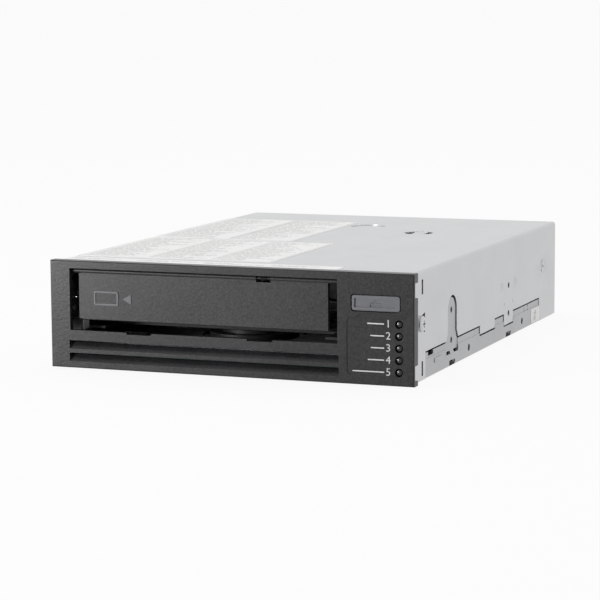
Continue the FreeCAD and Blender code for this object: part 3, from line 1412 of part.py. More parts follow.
def threader_arm():
    """Swinging arm that carries the leader pin round the tape path, with its gear on top."""
    tip = polar((pivot_x, pivot_y), arm_radius, arm_rest)
    z0, z1 = arm_bottom, arm_bottom + arm_thick
    beam = outline([(0, -arm_width / 2), (arm_radius, -arm_width / 3), (arm_radius, arm_width / 3),
                    (0, arm_width / 2)], "Z", z0, arm_thick)
    beam.rotate(Vector(0, 0, 0), Vector(0, 0, 1), math.degrees(arm_rest))
    beam.translate(Vector(pivot_x, pivot_y, 0))
    hub = rod_z(6.5, pivot_x, pivot_y, z0, arm_gear_z)
    pad = rod_z(arm_width / 3 + 0.6, *tip, z0, z1)
    toothed = gear_z(thread_module, arm_teeth, arm_gear_phase, pivot_x, pivot_y, arm_gear_z,
                     arm_gear_z + thread_gear_thick)
    bore = rod_z(pivot_radius + 0.05, pivot_x, pivot_y, z0 - 1, arm_gear_z + thread_gear_thick + 1)
    return joined(beam, hub, pad, toothed).cut(bore)


def leader_grabber():
    """Grabber under the arm's tip that holds the cartridge's leader pin."""
    x, y = polar((pivot_x, pivot_y), arm_radius, arm_rest)
    stem = rod_z(grab_radius, x, y, path_bottom, arm_bottom)
    notches = [rod_z(grab_radius + 1, x, y, z, z + 1.6).cut(rod_z(grab_radius - 0.5, x, y, z - 1, z + 3))
               for z in (path_bottom + 1.2, path_top - 2.8)]
    return stem.cut(notches)


def threader_post():
    """Fixed post that the threader arm turns on."""
    shoulder = rod_z(4.4, pivot_x, pivot_y, deck_top, arm_bottom - 0.1)
    core = rod_z(pivot_radius, pivot_x, pivot_y, deck_top, arm_gear_z + thread_gear_thick + 0.3)
    return joined(shoulder, core)


def threader_motor():
    """Upright can motor that drives the threader arm."""
    x, y = thread_motor_place
    can = rod_z(thread_motor_radius, x, y, deck_top, arm_bottom - 0.4)
    return can.cut(rod_z(1.05, x, y, arm_bottom - 4.4, arm_bottom))


def threader_pinion():
    """Pinion on the threader motor's shaft."""
    x, y = thread_motor_place
    teeth = gear_z(thread_module, thread_teeth, thread_phase, x, y, arm_gear_z, arm_gear_z + thread_gear_thick)
    shaft = rod_z(1.0, x, y, arm_bottom - 4.2, arm_gear_z + 0.1)
    return joined(teeth, shaft)


# ================================================================ fasteners
def bezel_screws():
    """Pan-head screws that hold the bezel's ears to the case."""
    y, z = datum + bezel_screw_row, pan_bottom + bezel_screw_height
    head = rod_x(3.05, y, z, half_width, half_width + 1.4)
    rim = [e for e in head.Edges if abs(e.BoundBox.XMin - half_width - 1.4) < 1e-6]
    head = head.makeChamfer(0.6, rim)
    shank = rod_x(tapped_radius - 0.05, y, z, wall_inside - 1.7, half_width + 0.1)
    cross = [block(half_width + 0.7, half_width + 2, y - 1.5, y + 1.5, z - 0.3, z + 0.3),
             block(half_width + 0.7, half_width + 2, y - 0.3, y + 0.3, z - 1.5, z + 1.5)]
    return both_sides(joined(head, shank).cut(cross))


def cover_screws():
    """Countersunk screws that hold the cover to the rear panel's flanges."""
    y, z = depth(cover_screw_row), pan_bottom + cover_screw_height
    cross = [block(half_width - 0.6, half_width + 1, y - 1.6, y + 1.6, z - 0.3, z + 0.3),
             block(half_width - 0.6, half_width + 1, y - 0.3, y + 0.3, z - 1.6, z + 1.6)]
    return both_sides(cover_screw(0.0).cut(cross))


def main():
    """Builds every piece and writes its file."""
    os.makedirs("parts", exist_ok=True)
    save("top_cover", top_cover())
    save("base_pan", base_pan())
    save("rear_panel", rear_panel())
    save("bezel", bezel())
    save("cartridge_door", cartridge_door())
    save("hinge_rod", hinge_rod())
    save("door_spring", door_spring())
    save("eject_button", eject_button())
    save("lamp_lenses", *lamp_lenses())
    save("front_board", front_board())
    save("button_spring", button_spring())
    save("board_screws", *board_screws(), *main_board_screws())
    save("status_leds", *status_leds())
    save("eject_switch", eject_switch())
    save("main_board", main_board())
    save("board_chips", *chips())
    save("sas_connector", sas_connector())
    save("bus_connector", bus_connector())
    save("front_ribbon", front_ribbon())
    save("ribbon_sockets", *ribbon_sockets())
    save("deck", deck())
    save("supply_motor", reel_motor(bay_x, hub_y))
    save("takeup_motor", reel_motor(takeup_x, takeup_y))
    save("supply_clutch", supply_clutch())
    save("takeup_reel", takeup_reel())
    save("takeup_flange", takeup_flange())
    save("carrier", carrier())
    save("carrier_pins", *carrier_pins())
    save("entry_guides", *entry_guides())
    save("right_frame", guide_frame())
    save("left_frame", mirrored(guide_frame(), bay_x))
    save("right_cam_plate", joined(cam_plate(), cam_feet()))
    save("left_cam_plate", mirrored(joined(cam_plate(), cam_feet()), bay_x))
    save("slider_strap", slider_strap())
    save("slider_rack", rack())
    save("last_load_gear", last_load_gear())
    save("first_load_gear", first_load_gear())
    save("motor_pinion", motor_pinion())
    save("gear_bracket", gear_bracket())
    save("load_motor", load_motor())
    for number, degrees in enumerate(roller_angles, 1):
        save("guide_roller_%d" % number, guide_roller(degrees))
    save("roller_posts", *roller_posts())
    save("head_carriage", head_carriage())
    save("tape_head", tape_head())
    save("head_rods", *head_rods())
    save("lead_screw", lead_screw())
    save("head_stepper", head_stepper())
    save("threader_arm", threader_arm())
    save("leader_grabber", leader_grabber())
    save("threader_post", threader_post())
    save("threader_motor", threader_motor())
    save("threader_pinion", threader_pinion())
    save("deck_screws", *[deck_screw(x, row, 0.0) for x, row in deck_legs])
    save("bezel_screws", *bezel_screws())
    save("cover_screws", *cover_screws())


main()
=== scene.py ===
"""Looks of a half-height data tape drive: finishes, worked side walls, labels, print and a plain studio.

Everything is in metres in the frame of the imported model: X across the drive, +Y from the bezel to the
rear panel, +Z up. Sizes that a designer would give in millimetres are written so and multiplied by MM.
"""

import logging
import math
import random
from contextlib import contextmanager
from dataclasses import dataclass, field
from enum import Enum
from typing import Any, Callable, Iterator, Self

import bmesh
import bpy
from mathutils import Matrix, Vector


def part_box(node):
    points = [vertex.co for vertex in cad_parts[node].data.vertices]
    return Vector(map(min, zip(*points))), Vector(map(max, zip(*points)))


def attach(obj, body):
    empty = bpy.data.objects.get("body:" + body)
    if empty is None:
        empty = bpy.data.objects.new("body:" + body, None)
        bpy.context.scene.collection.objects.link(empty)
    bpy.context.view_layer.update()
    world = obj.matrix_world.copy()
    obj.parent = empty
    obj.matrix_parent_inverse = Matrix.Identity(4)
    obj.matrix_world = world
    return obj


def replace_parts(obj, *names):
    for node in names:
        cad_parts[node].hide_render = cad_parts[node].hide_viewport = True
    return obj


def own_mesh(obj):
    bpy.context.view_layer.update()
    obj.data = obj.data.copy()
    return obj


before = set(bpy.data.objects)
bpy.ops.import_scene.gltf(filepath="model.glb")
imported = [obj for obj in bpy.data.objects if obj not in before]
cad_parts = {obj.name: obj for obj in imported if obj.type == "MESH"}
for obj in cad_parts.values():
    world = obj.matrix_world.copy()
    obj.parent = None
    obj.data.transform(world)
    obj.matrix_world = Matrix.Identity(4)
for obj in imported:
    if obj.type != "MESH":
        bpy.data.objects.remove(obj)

MM = 0.001
LOG = logging.getLogger("tape_drive")
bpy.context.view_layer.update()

Socket = bpy.types.NodeSocket
Pair = tuple[float, float]
Triple = tuple[float, float, float]
FaceTest = Callable[[Vector, Vector], bool]

ORIGIN = Vector((0, 0, 0))
WELD = 0.001 * MM  # vertices of a CAD mesh closer than this are one
INK_LIFT = 0.005 * MM  # height of print above its paper
BAR_CORNER = 0.08  # rounding of a printed bar's corners, as a share of its size
QUARTER_TURN = math.radians(90)
EDGE_SAMPLES = 4  # rays that find a rounded edge's normal
EDGE_DOT = (0.995, 0.85)  # dot product of soft and true normal where an edge starts and is fully there


# ---------------------------------------------------------------- colours and nodes
def linear(colour: str) -> tuple[float, float, float, float]:
    """Turns an sRGB hex colour to the linear colour that a shader wants.

    Args:
        colour: Six hex digits after a #.

    Returns:
        Linear red, green and blue, and an alpha of 1.
    """
    parts = [int(colour[i:i + 2], 16) / 255 for i in (1, 3, 5)]
    red, green, blue = (c / 12.92 if c <= 0.04045 else ((c + 0.055) / 1.055) ** 2.4 for c in parts)
    return red, green, blue, 1.0


@dataclass
class Graph:
    """The node tree of a material or a world, cleared, with short ways to add nodes to it."""

    owner: bpy.types.Material | bpy.types.World
    tree: bpy.types.NodeTree = field(init=False)

    def __post_init__(self) -> None:
        """Turns the owner's nodes on and clears them."""
        self.owner.use_nodes = True
        self.tree = self.owner.node_tree
        self.tree.nodes.clear()

    def add(self, kind: str, settings: dict[Any, Any] | None = None,
            links: dict[Any, Socket] | None = None) -> bpy.types.Node:
        """Adds a node with its settings and its incoming links.

        Args:
            kind: The node's type name.
            settings: Values by property name, input name or input number.
            links: Sockets that feed the node, by input name or number.

        Returns:
            The new node.
        """
        node = self.tree.nodes.new(kind)
        for key, value in (settings or {}).items():
            if isinstance(key, str) and hasattr(node, key):
                setattr(node, key, value)
            else:
                node.inputs[key].default_value = value
        for key, socket in (links or {}).items():
            self.tree.links.new(socket, node.inputs[key])
        return node

    def math(self, operation: str, *values: Socket | float) -> Socket:
        """The result of an operation on sockets and numbers, given in the order of the node's inputs."""
        node = self.add("ShaderNodeMath", {"operation": operation})
        for number, value in enumerate(values):
            if isinstance(value, Socket):
                self.tree.links.new(value, node.inputs[number])
            else:
                node.inputs[number].default_value = value
        return node.outputs["Value"]

    def ranged(self, value: Socket, start: Pair, end: Pair) -> Socket:
        """A value taken from one range to another and held at its ends."""
        limits = {"From Min": start[0], "From Max": start[1], "To Min": end[0], "To Max": end[1]}
        return self.add("ShaderNodeMapRange", limits, {"Value": value}).outputs["Result"]

    def scaled(self, place: Socket, size: Triple | float) -> Socket:
        """Coordinates in which one unit is one grain of the given size in millimetres."""
        sizes = size if isinstance(size, tuple) else (size,) * 3
        scale = tuple(1 / (MM * length) for length in sizes)
        return self.add("ShaderNodeMapping", {"Scale": scale}, {"Vector": place}).outputs["Vector"]

    def noise(self, place: Socket, size: Triple | float, detail: float, rough: float = 0.5) -> Socket:
        """The value of a noise.

        Args:
            place: Object coordinates.
            size: Size of a grain along X, Y and Z, or along all three, in millimetres.
            detail: How many finer noises it holds.
            rough: How strong the finer ones are.

        Returns:
            The noise's value.
        """
        return self.add("ShaderNodeTexNoise", {"Scale": 1.0, "Detail": detail, "Roughness": rough},
                        {"Vector": self.scaled(place, size)}).outputs["Fac"]


# ---------------------------------------------------------------- finishes
@dataclass(frozen=True)
class Finish:
    """A surface finish: the base of all materials, with a pattern whose grain has a real size.

    Args:
        name: The material's name.
        colour: Main colour, as sRGB hex.
        second: Colour that the pattern brings in, as sRGB hex.
        roughness: Middle value of the roughness.
        spread: How far the pattern moves the roughness.
        metallic: 1 for bare metal and 0 for everything else.
        ior: Index of refraction, left at the default for metals.
        grain: Size of the pattern's grain along X, Y and Z, or along all three, in millimetres.
        relief: Height of the pattern, in millimetres.
        mottle: Share of the second colour that the pattern brings in at most.
        edge: Colour of the edges, which stand for worn edges and a painted highlight, as sRGB hex.
        wear: How strongly the edges show; they stand for worn edges and a painted highlight.
        edge_radius: Radius of the softened edges, in millimetres.
        gloss: Specular level, 0.5 for a clean surface and less for a scattering, pitted one.
        bounds: Values of the pattern where the second colour starts and is fully there.
    """

    name: str
    colour: str
    second: str
    roughness: float = 0.5
    spread: float = 0.06
    metallic: float = 0.0
    ior: float = 1.5
    grain: Triple | float = 0.6
    relief: float = 0.01
    mottle: float = 0.3
    edge: str = "#FFFFFF"
    wear: float = 0.0
    edge_radius: float = 0.15
    gloss: float = 0.5
    bounds: Pair = (0.35, 0.65)

    def material(self) -> bpy.types.Material:
        """Makes the material, or returns it if it was made before."""
        made = bpy.data.materials.get(self.name)
        if made is None:
            made = bpy.data.materials.new(self.name)
            graph = Graph(made)
            shader = graph.add("ShaderNodeBsdfPrincipled", {
                "Metallic": self.metallic, "IOR": self.ior, "Specular IOR Level": self.gloss})
            graph.add("ShaderNodeOutputMaterial", links={"Surface": shader.outputs["BSDF"]})
            self.dress(graph, shader, graph.add("ShaderNodeTexCoord").outputs["Object"])
        return made

    def dress(self, graph: Graph, shader: bpy.types.Node, place: Socket) -> None:
        """Feeds the shader's colour, roughness and normal from one noise pattern and the edges.

        Args:
            graph: The material's nodes.
            shader: Its Principled BSDF.
            place: Object coordinates.
        """
        grain = graph.noise(place, self.grain, detail=3.0, rough=0.6)
        self.connect(graph, shader, self.share(graph, grain), grain)

    def share(self, graph: Graph, pattern: Socket) -> Socket:
        """How much of the second colour a pattern brings in."""
        return graph.ranged(pattern, self.bounds, (0.0, self.mottle))

    def connect(self, graph: Graph, shader: bpy.types.Node, share: Socket, height: Socket) -> None:
        """Mixes the two colours by share, shows the edges in their own colour as worn edges and a painted
        highlight, and raises the surface by height.

        Args:
            graph: The material's nodes.
            shader: Its Principled BSDF.
            share: How much of the second colour shows.
            height: Pattern height from 0 to 1.
        """
        bevel = graph.add("ShaderNodeBevel", {"samples": EDGE_SAMPLES, "Radius": self.edge_radius * MM})
        soft = bevel.outputs["Normal"]
        colour = graph.add("ShaderNodeMix", {"data_type": "RGBA", 6: linear(self.colour),
                                             7: linear(self.second)}, {0: share}).outputs[2]
        # Worn edges and a painted highlight: where the softened normal parts from the true normal, the
        # colour is mixed towards the paler edge colour.
        if self.wear > 0:
            true = graph.add("ShaderNodeNewGeometry").outputs["Normal"]
            dot = graph.add("ShaderNodeVectorMath", {"operation": "DOT_PRODUCT"}, {0: soft, 1: true})
            mask = graph.ranged(dot.outputs["Value"], EDGE_DOT, (0.0, self.wear))
            colour = graph.add("ShaderNodeMix", {"data_type": "RGBA", 7: linear(self.edge)},
                               {0: mask, 6: colour}).outputs[2]
        limits = (self.roughness - self.spread, self.roughness + self.spread)
        rough = graph.ranged(height, (0.0, 1.0), limits)
        bump = graph.add("ShaderNodeBump", {"Strength": 1.0, "Distance": self.relief * MM},
                         {"Height": height, "Normal": soft}).outputs["Normal"]
        for name, socket in (("Base Color", colour), ("Roughness", rough), ("Normal", bump)):
            graph.tree.links.new(socket, shader.inputs[name])


@dataclass(frozen=True)
class TexturedPlastic(Finish):
    """Plastic from a spark-eroded mould: round pits of one size over broad, faint flow marks."""

    bounds: Pair = (0.5, 0.9)
    flow_size: float = 30.0
    flow_weight: float = 0.4

    def dress(self, graph: Graph, shader: bpy.types.Node, place: Socket) -> None:
        """Feeds the shader from pits of the grain's size and from broad flow marks."""
        pits = graph.noise(place, self.grain, detail=2.0, rough=0.7)
        flow = graph.noise(place, self.flow_size, detail=1.0)
        both = graph.math("MULTIPLY_ADD", flow, self.flow_weight, pits)
        self.connect(graph, shader, self.share(graph, both), pits)


@dataclass(frozen=True)
class RolledSheet(Finish):
    """Plated sheet steel: short rolling lines along Y under a soft, cloudy plating."""

    spread: float = 0.05
    metallic: float = 1.0
    relief: float = 0.004
    mottle: float = 0.6
    bounds: Pair = (0.5, 1.0)
    cloud_size: Triple = (18.0, 26.0, 18.0)
    line_weight: float = 0.5

    def dress(self, graph: Graph, shader: bpy.types.Node, place: Socket) -> None:
        """Feeds the shader from rolling lines and from the cloudy plating."""
        lines = graph.noise(place, self.grain, detail=2.0)
        cloud = graph.noise(place, self.cloud_size, detail=3.0, rough=0.55)
        both = graph.math("MULTIPLY_ADD", lines, self.line_weight, cloud)
        self.connect(graph, shader, self.share(graph, both), lines)


@dataclass(frozen=True)
class BoardLaminate(Finish):
    """Glass-epoxy board under solder mask: a woven base with copper tracks that show through."""

    pitch: float = 2.6
    weave_weight: float = 0.3

    def dress(self, graph: Graph, shader: bpy.types.Node, place: Socket) -> None:
        """Feeds the shader from tracks laid out as courses and from the weave."""
        tracks = graph.add("ShaderNodeTexBrick", {
            "Scale": 1.0, "Mortar Size": 0.09, "Mortar Smooth": 0.3, "Color1": (0, 0, 0, 1),
            "Color2": (0, 0, 0, 1), "Mortar": (1, 1, 1, 1), "Brick Width": 2.3, "Row Height": 0.45,
        }, {"Vector": graph.scaled(place, self.pitch)}).outputs["Fac"]
        weave = graph.noise(place, self.grain, detail=1.0)
        height = graph.math("MULTIPLY_ADD", weave, self.weave_weight, tracks)
        self.connect(graph, shader, graph.math("MULTIPLY", tracks, self.mottle), height)


@dataclass(frozen=True)
class SmokedLens(Finish):
    """Smoked polycarbonate that carries a lamp's light: glossy, and clear enough to look deep."""

    clearness: float = 0.2
    coat: float = 0.15

    def dress(self, graph: Graph, shader: bpy.types.Node, place: Socket) -> None:
        """Adds transmission and a clear coat to the plain pattern."""
        shader.inputs["Transmission Weight"].default_value = self.clearness
        shader.inputs["Coat Weight"].default_value = self.coat
        super().dress(graph, shader, place)


class Surface(Enum):
    """Every finish on the drive, most by the name that a maker would give it; two near-black ones are
    painted shade.
    """

    # Charcoal ABS from a spark-eroded mould: dull, with a sparkle of tiny pits, and corners drawn paler as
    # worn edges and a painted highlight.
    # The pits are finer than this on the real mould, and are drawn coarser so that they show at all.
    BEZEL_ABS = TexturedPlastic(
        "charcoal_textured_abs", "#121213", "#2A2A2C", 0.33, 0.07, grain=0.9, relief=0.045,
        mottle=0.9, edge="#3C3C3E", wear=0.5, gloss=0.32)
    DOOR_ABS = TexturedPlastic(
        "charcoal_door_abs", "#141415", "#2C2C2E", 0.35, 0.07, grain=0.8, relief=0.045, mottle=0.9,
        edge="#3C3C3E", wear=0.4, gloss=0.32)
    # Mid-grey ABS key cap: a finer mould texture and a slight polish from fingers.
    BUTTON_ABS = TexturedPlastic(
        "grey_button_abs", "#636468", "#707175", 0.42, 0.06, grain=0.35, relief=0.012, mottle=0.5,
        edge="#A0A0A3", wear=0.5, gloss=0.2)
    # Electro-galvanised sheet steel: pale satin with rolling lines and soft clouds.
    COVER_STEEL = RolledSheet(
        "galvanised_cover_steel", "#C1C2C3", "#CBCCCD", 0.36, grain=(0.35, 9.0, 0.35),
        edge="#E4E5E6", wear=0.6, edge_radius=0.25)
    PAN_STEEL = RolledSheet(
        "galvanised_pan_steel", "#ACADAE", "#BABBBC", 0.42, grain=(0.35, 9.0, 0.35), edge="#DCDDDE",
        wear=0.6, edge_radius=0.2)
    BRACKET_STEEL = RolledSheet(
        "galvanised_bracket_steel", "#A9ABAD", "#B7B9BB", 0.4, grain=(0.3, 6.0, 0.3),
        edge="#D0D1D2", wear=0.5)
    # Nickel-plated screws: bright, with paler edges that stand for brushing by the driver and a painted
    # highlight.
    SCREW_NICKEL = Finish(
        "nickel_plated_screw", "#C2C3C5", "#AEAFB1", 0.28, 0.08, 1.0, grain=0.3, relief=0.003,
        edge="#E4E5E6", wear=0.5, edge_radius=0.08)
    # Near-black steel of the loader and hinge rod: its dark colour is painted shade that keeps the slot
    # dark; dull, with a faint grain.
    BLACKENED_STEEL = Finish(
        "loader_steel_painted_shade", "#161718", "#212224", 0.5, 0.08, grain=(0.5, 3.0, 0.5),
        relief=0.004, mottle=0.6, edge="#3A3B3D", wear=0.4, gloss=0.3)
    # Ground steel rods and shafts: mirror-like, with faint grinding marks round them.
    GROUND_STEEL = Finish(
        "ground_steel_shaft", "#C4C5C8", "#ADAEB1", 0.16, 0.05, 1.0, grain=(2.0, 2.0, 0.2),
        relief=0.001, edge="#E0E1E3", wear=0.4, edge_radius=0.08)
    # Spring wire, nearly black as painted shade so that the door spring is lost in its seam, with a dull
    # grain.
    SPRING_WIRE = Finish(
        "spring_wire_painted_shade", "#1C1D1E", "#29292B", 0.5, 0.06, grain=0.2, relief=0.001,
        gloss=0.3)
    # Die-cast aluminium alloy: matt grey with the faint orange peel of the die.
    CAST_DECK = Finish(
        "die_cast_aluminium", "#A3A5A7", "#8F9194", 0.5, 0.08, 1.0, grain=0.9, relief=0.02,
        mottle=0.6, edge="#C7C9CB", wear=0.5, edge_radius=0.2)
    # Machined aluminium for reels and rollers: bright satin with turned grooves.
    TURNED_ALUMINIUM = Finish(
        "turned_aluminium", "#BFC1C3", "#AEB0B2", 0.3, 0.06, 1.0, grain=(5.0, 5.0, 0.25),
        relief=0.002, edge="#E2E3E4", wear=0.4)
    # Zinc-plated motor cans: smooth drawn steel, slightly blue.
    MOTOR_CAN = Finish(
        "zinc_plated_motor_can", "#AEB2B8", "#9DA1A7", 0.32, 0.06, 1.0, grain=(1.4, 1.4, 0.4),
        relief=0.002, edge="#D3D6DA", wear=0.4)
    # Natural acetal: ivory, waxy and smooth, as moulded gears are.
    GEAR_ACETAL = Finish(
        "natural_acetal", "#E4E1D6", "#D8D4C6", 0.38, 0.05, ior=1.48, grain=1.2, relief=0.003,
        mottle=0.5, edge="#F2F0E8", wear=0.3)
    # Black glass-filled nylon: matt, with glints of fibre.
    BLACK_NYLON = Finish(
        "black_glass_filled_nylon", "#1D1D1F", "#333336", 0.5, 0.1, ior=1.53,
        grain=(0.25, 0.25, 0.9), relief=0.006, mottle=0.6, edge="#4A4A4C", wear=0.4)
    # White nylon shoes that guide the cartridge: waxy and a little translucent.
    GUIDE_NYLON = Finish(
        "white_guide_nylon", "#D9DADA", "#CBCCCC", 0.4, 0.05, ior=1.53, grain=1.0, relief=0.003,
        edge="#F0F0F0", wear=0.3)
    # Clear polycarbonate reel flange, smoked: glossy and dark.
    REEL_FLANGE = SmokedLens(
        "smoked_reel_polycarbonate", "#5B5E63", "#6A6D72", 0.12, 0.03, ior=1.58, grain=6.0,
        relief=0.001, edge="#8D9095", wear=0.3)
    # Smoked lens rods of the status lamps: darker, and dulled by their moulded domes.
    LAMP_LENS = SmokedLens(
        "smoked_lamp_polycarbonate", "#0C0C0D", "#141415", 0.3, 0.04, ior=1.58, grain=0.8,
        relief=0.001, gloss=0.3)
    # Green solder mask on glass-epoxy: satin, with tracks and a faint weave under it.
    BOARD = BoardLaminate(
        "green_solder_mask", "#0E4A2C", "#1D6B40", 0.35, 0.05, ior=1.52, grain=0.4, relief=0.01,
        mottle=0.9, edge="#A89A5C", wear=0.7)
    # Moulding compound of chips: black, dull and slightly gritty.
    CHIP_EPOXY = Finish(
        "chip_moulding_epoxy", "#1A1A1B", "#272728", 0.55, 0.08, ior=1.55, grain=0.2, relief=0.004,
        edge="#3C3C3D", wear=0.3)
    # Black liquid-crystal polymer of sockets: smooth and hard.
    SOCKET_POLYMER = Finish(
        "black_socket_polymer", "#151517", "#222225", 0.42, 0.06, ior=1.6, grain=0.6, relief=0.003,
        edge="#3A3A3D", wear=0.4)
    # White moulding of the lamps on the board.
    LAMP_BODY = Finish(
        "white_lamp_body", "#E9E9E4", "#DEDDD6", 0.4, 0.05, grain=0.3, relief=0.002)
    # Grey flat cable: ribbed vinyl along the conductors.
    FLAT_CABLE = Finish(
        "grey_flat_cable", "#A4A6A8", "#86888B", 0.45, 0.05, ior=1.52, grain=(0.5, 40.0, 40.0),
        relief=0.03, mottle=0.8)
    # Ceramic and ferrite of the tape head: near-black, lapped to a shine.
    HEAD_CERAMIC = Finish(
        "lapped_head_ceramic", "#3A3B3F", "#4B4C51", 0.14, 0.04, ior=1.8, grain=(1.5, 1.5, 0.1),
        relief=0.0005, edge="#7B7C80", wear=0.4)
    # Coated label paper: white, faintly fibrous, satin varnish.
    LABEL_PAPER = Finish(
        "coated_label_paper", "#F4F4F3", "#ECECEA", 0.45, 0.06, ior=1.47, grain=0.7, relief=0.004,
        mottle=0.4, edge="#FAFAFA", wear=0.2, edge_radius=0.05)
    # Thermal print on the labels: grey where the dots don't quite meet.
    LABEL_INK = Finish(
        "thermal_label_ink", "#A2A2A1", "#C4C4C2", 0.55, 0.05, ior=1.47, grain=0.16, relief=0.001,
        mottle=0.7)
    # Pad-printed light grey ink on the front: opaque, with slightly thin edges.
    PANEL_INK = Finish(
        "pad_printed_panel_ink", "#C6C6C5", "#B0B0AE", 0.5, 0.05, grain=0.4, relief=0.002,
        mottle=0.5)
    # Raised emblem in paler ABS, polished against the door's texture.
    EMBLEM_ABS = TexturedPlastic(
        "pale_emblem_abs", "#5E5E61", "#6B6B6E", 0.4, 0.05, grain=0.5, relief=0.008, mottle=0.5,
        edge="#7C7C7F", wear=0.4, edge_radius=0.08, gloss=0.2)


Pieces = tuple[tuple[Surface, tuple[str, ...]], ...]


def paint(node: str, surface: Surface) -> None:
    """Gives a CAD node its finish.

    Args:
        node: Name of the CAD node.
        surface: The finish.
    """
    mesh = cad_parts[node].data
    mesh.materials.clear()
    mesh.materials.append(surface.value.material())
    LOG.info("painted %s with %s", node, surface.value.name)


@dataclass
class Painted:
    """A sub-assembly whose CAD pieces get their finishes before anything is added to them."""

    pieces: Pieces = ()

    def build(self) -> None:
        """Paints every piece of the sub-assembly."""
        for surface, nodes in self.pieces:
            for node in nodes:
                paint(node, surface)


# ---------------------------------------------------------------- modelling by operators
def deselect_everything() -> None:
    """Leaves edit mode and deselects every object, so that the next operator acts on new geometry."""
    if bpy.context.mode != "OBJECT":
        bpy.ops.object.mode_set(mode="OBJECT")
    bpy.ops.object.select_all(action="DESELECT")


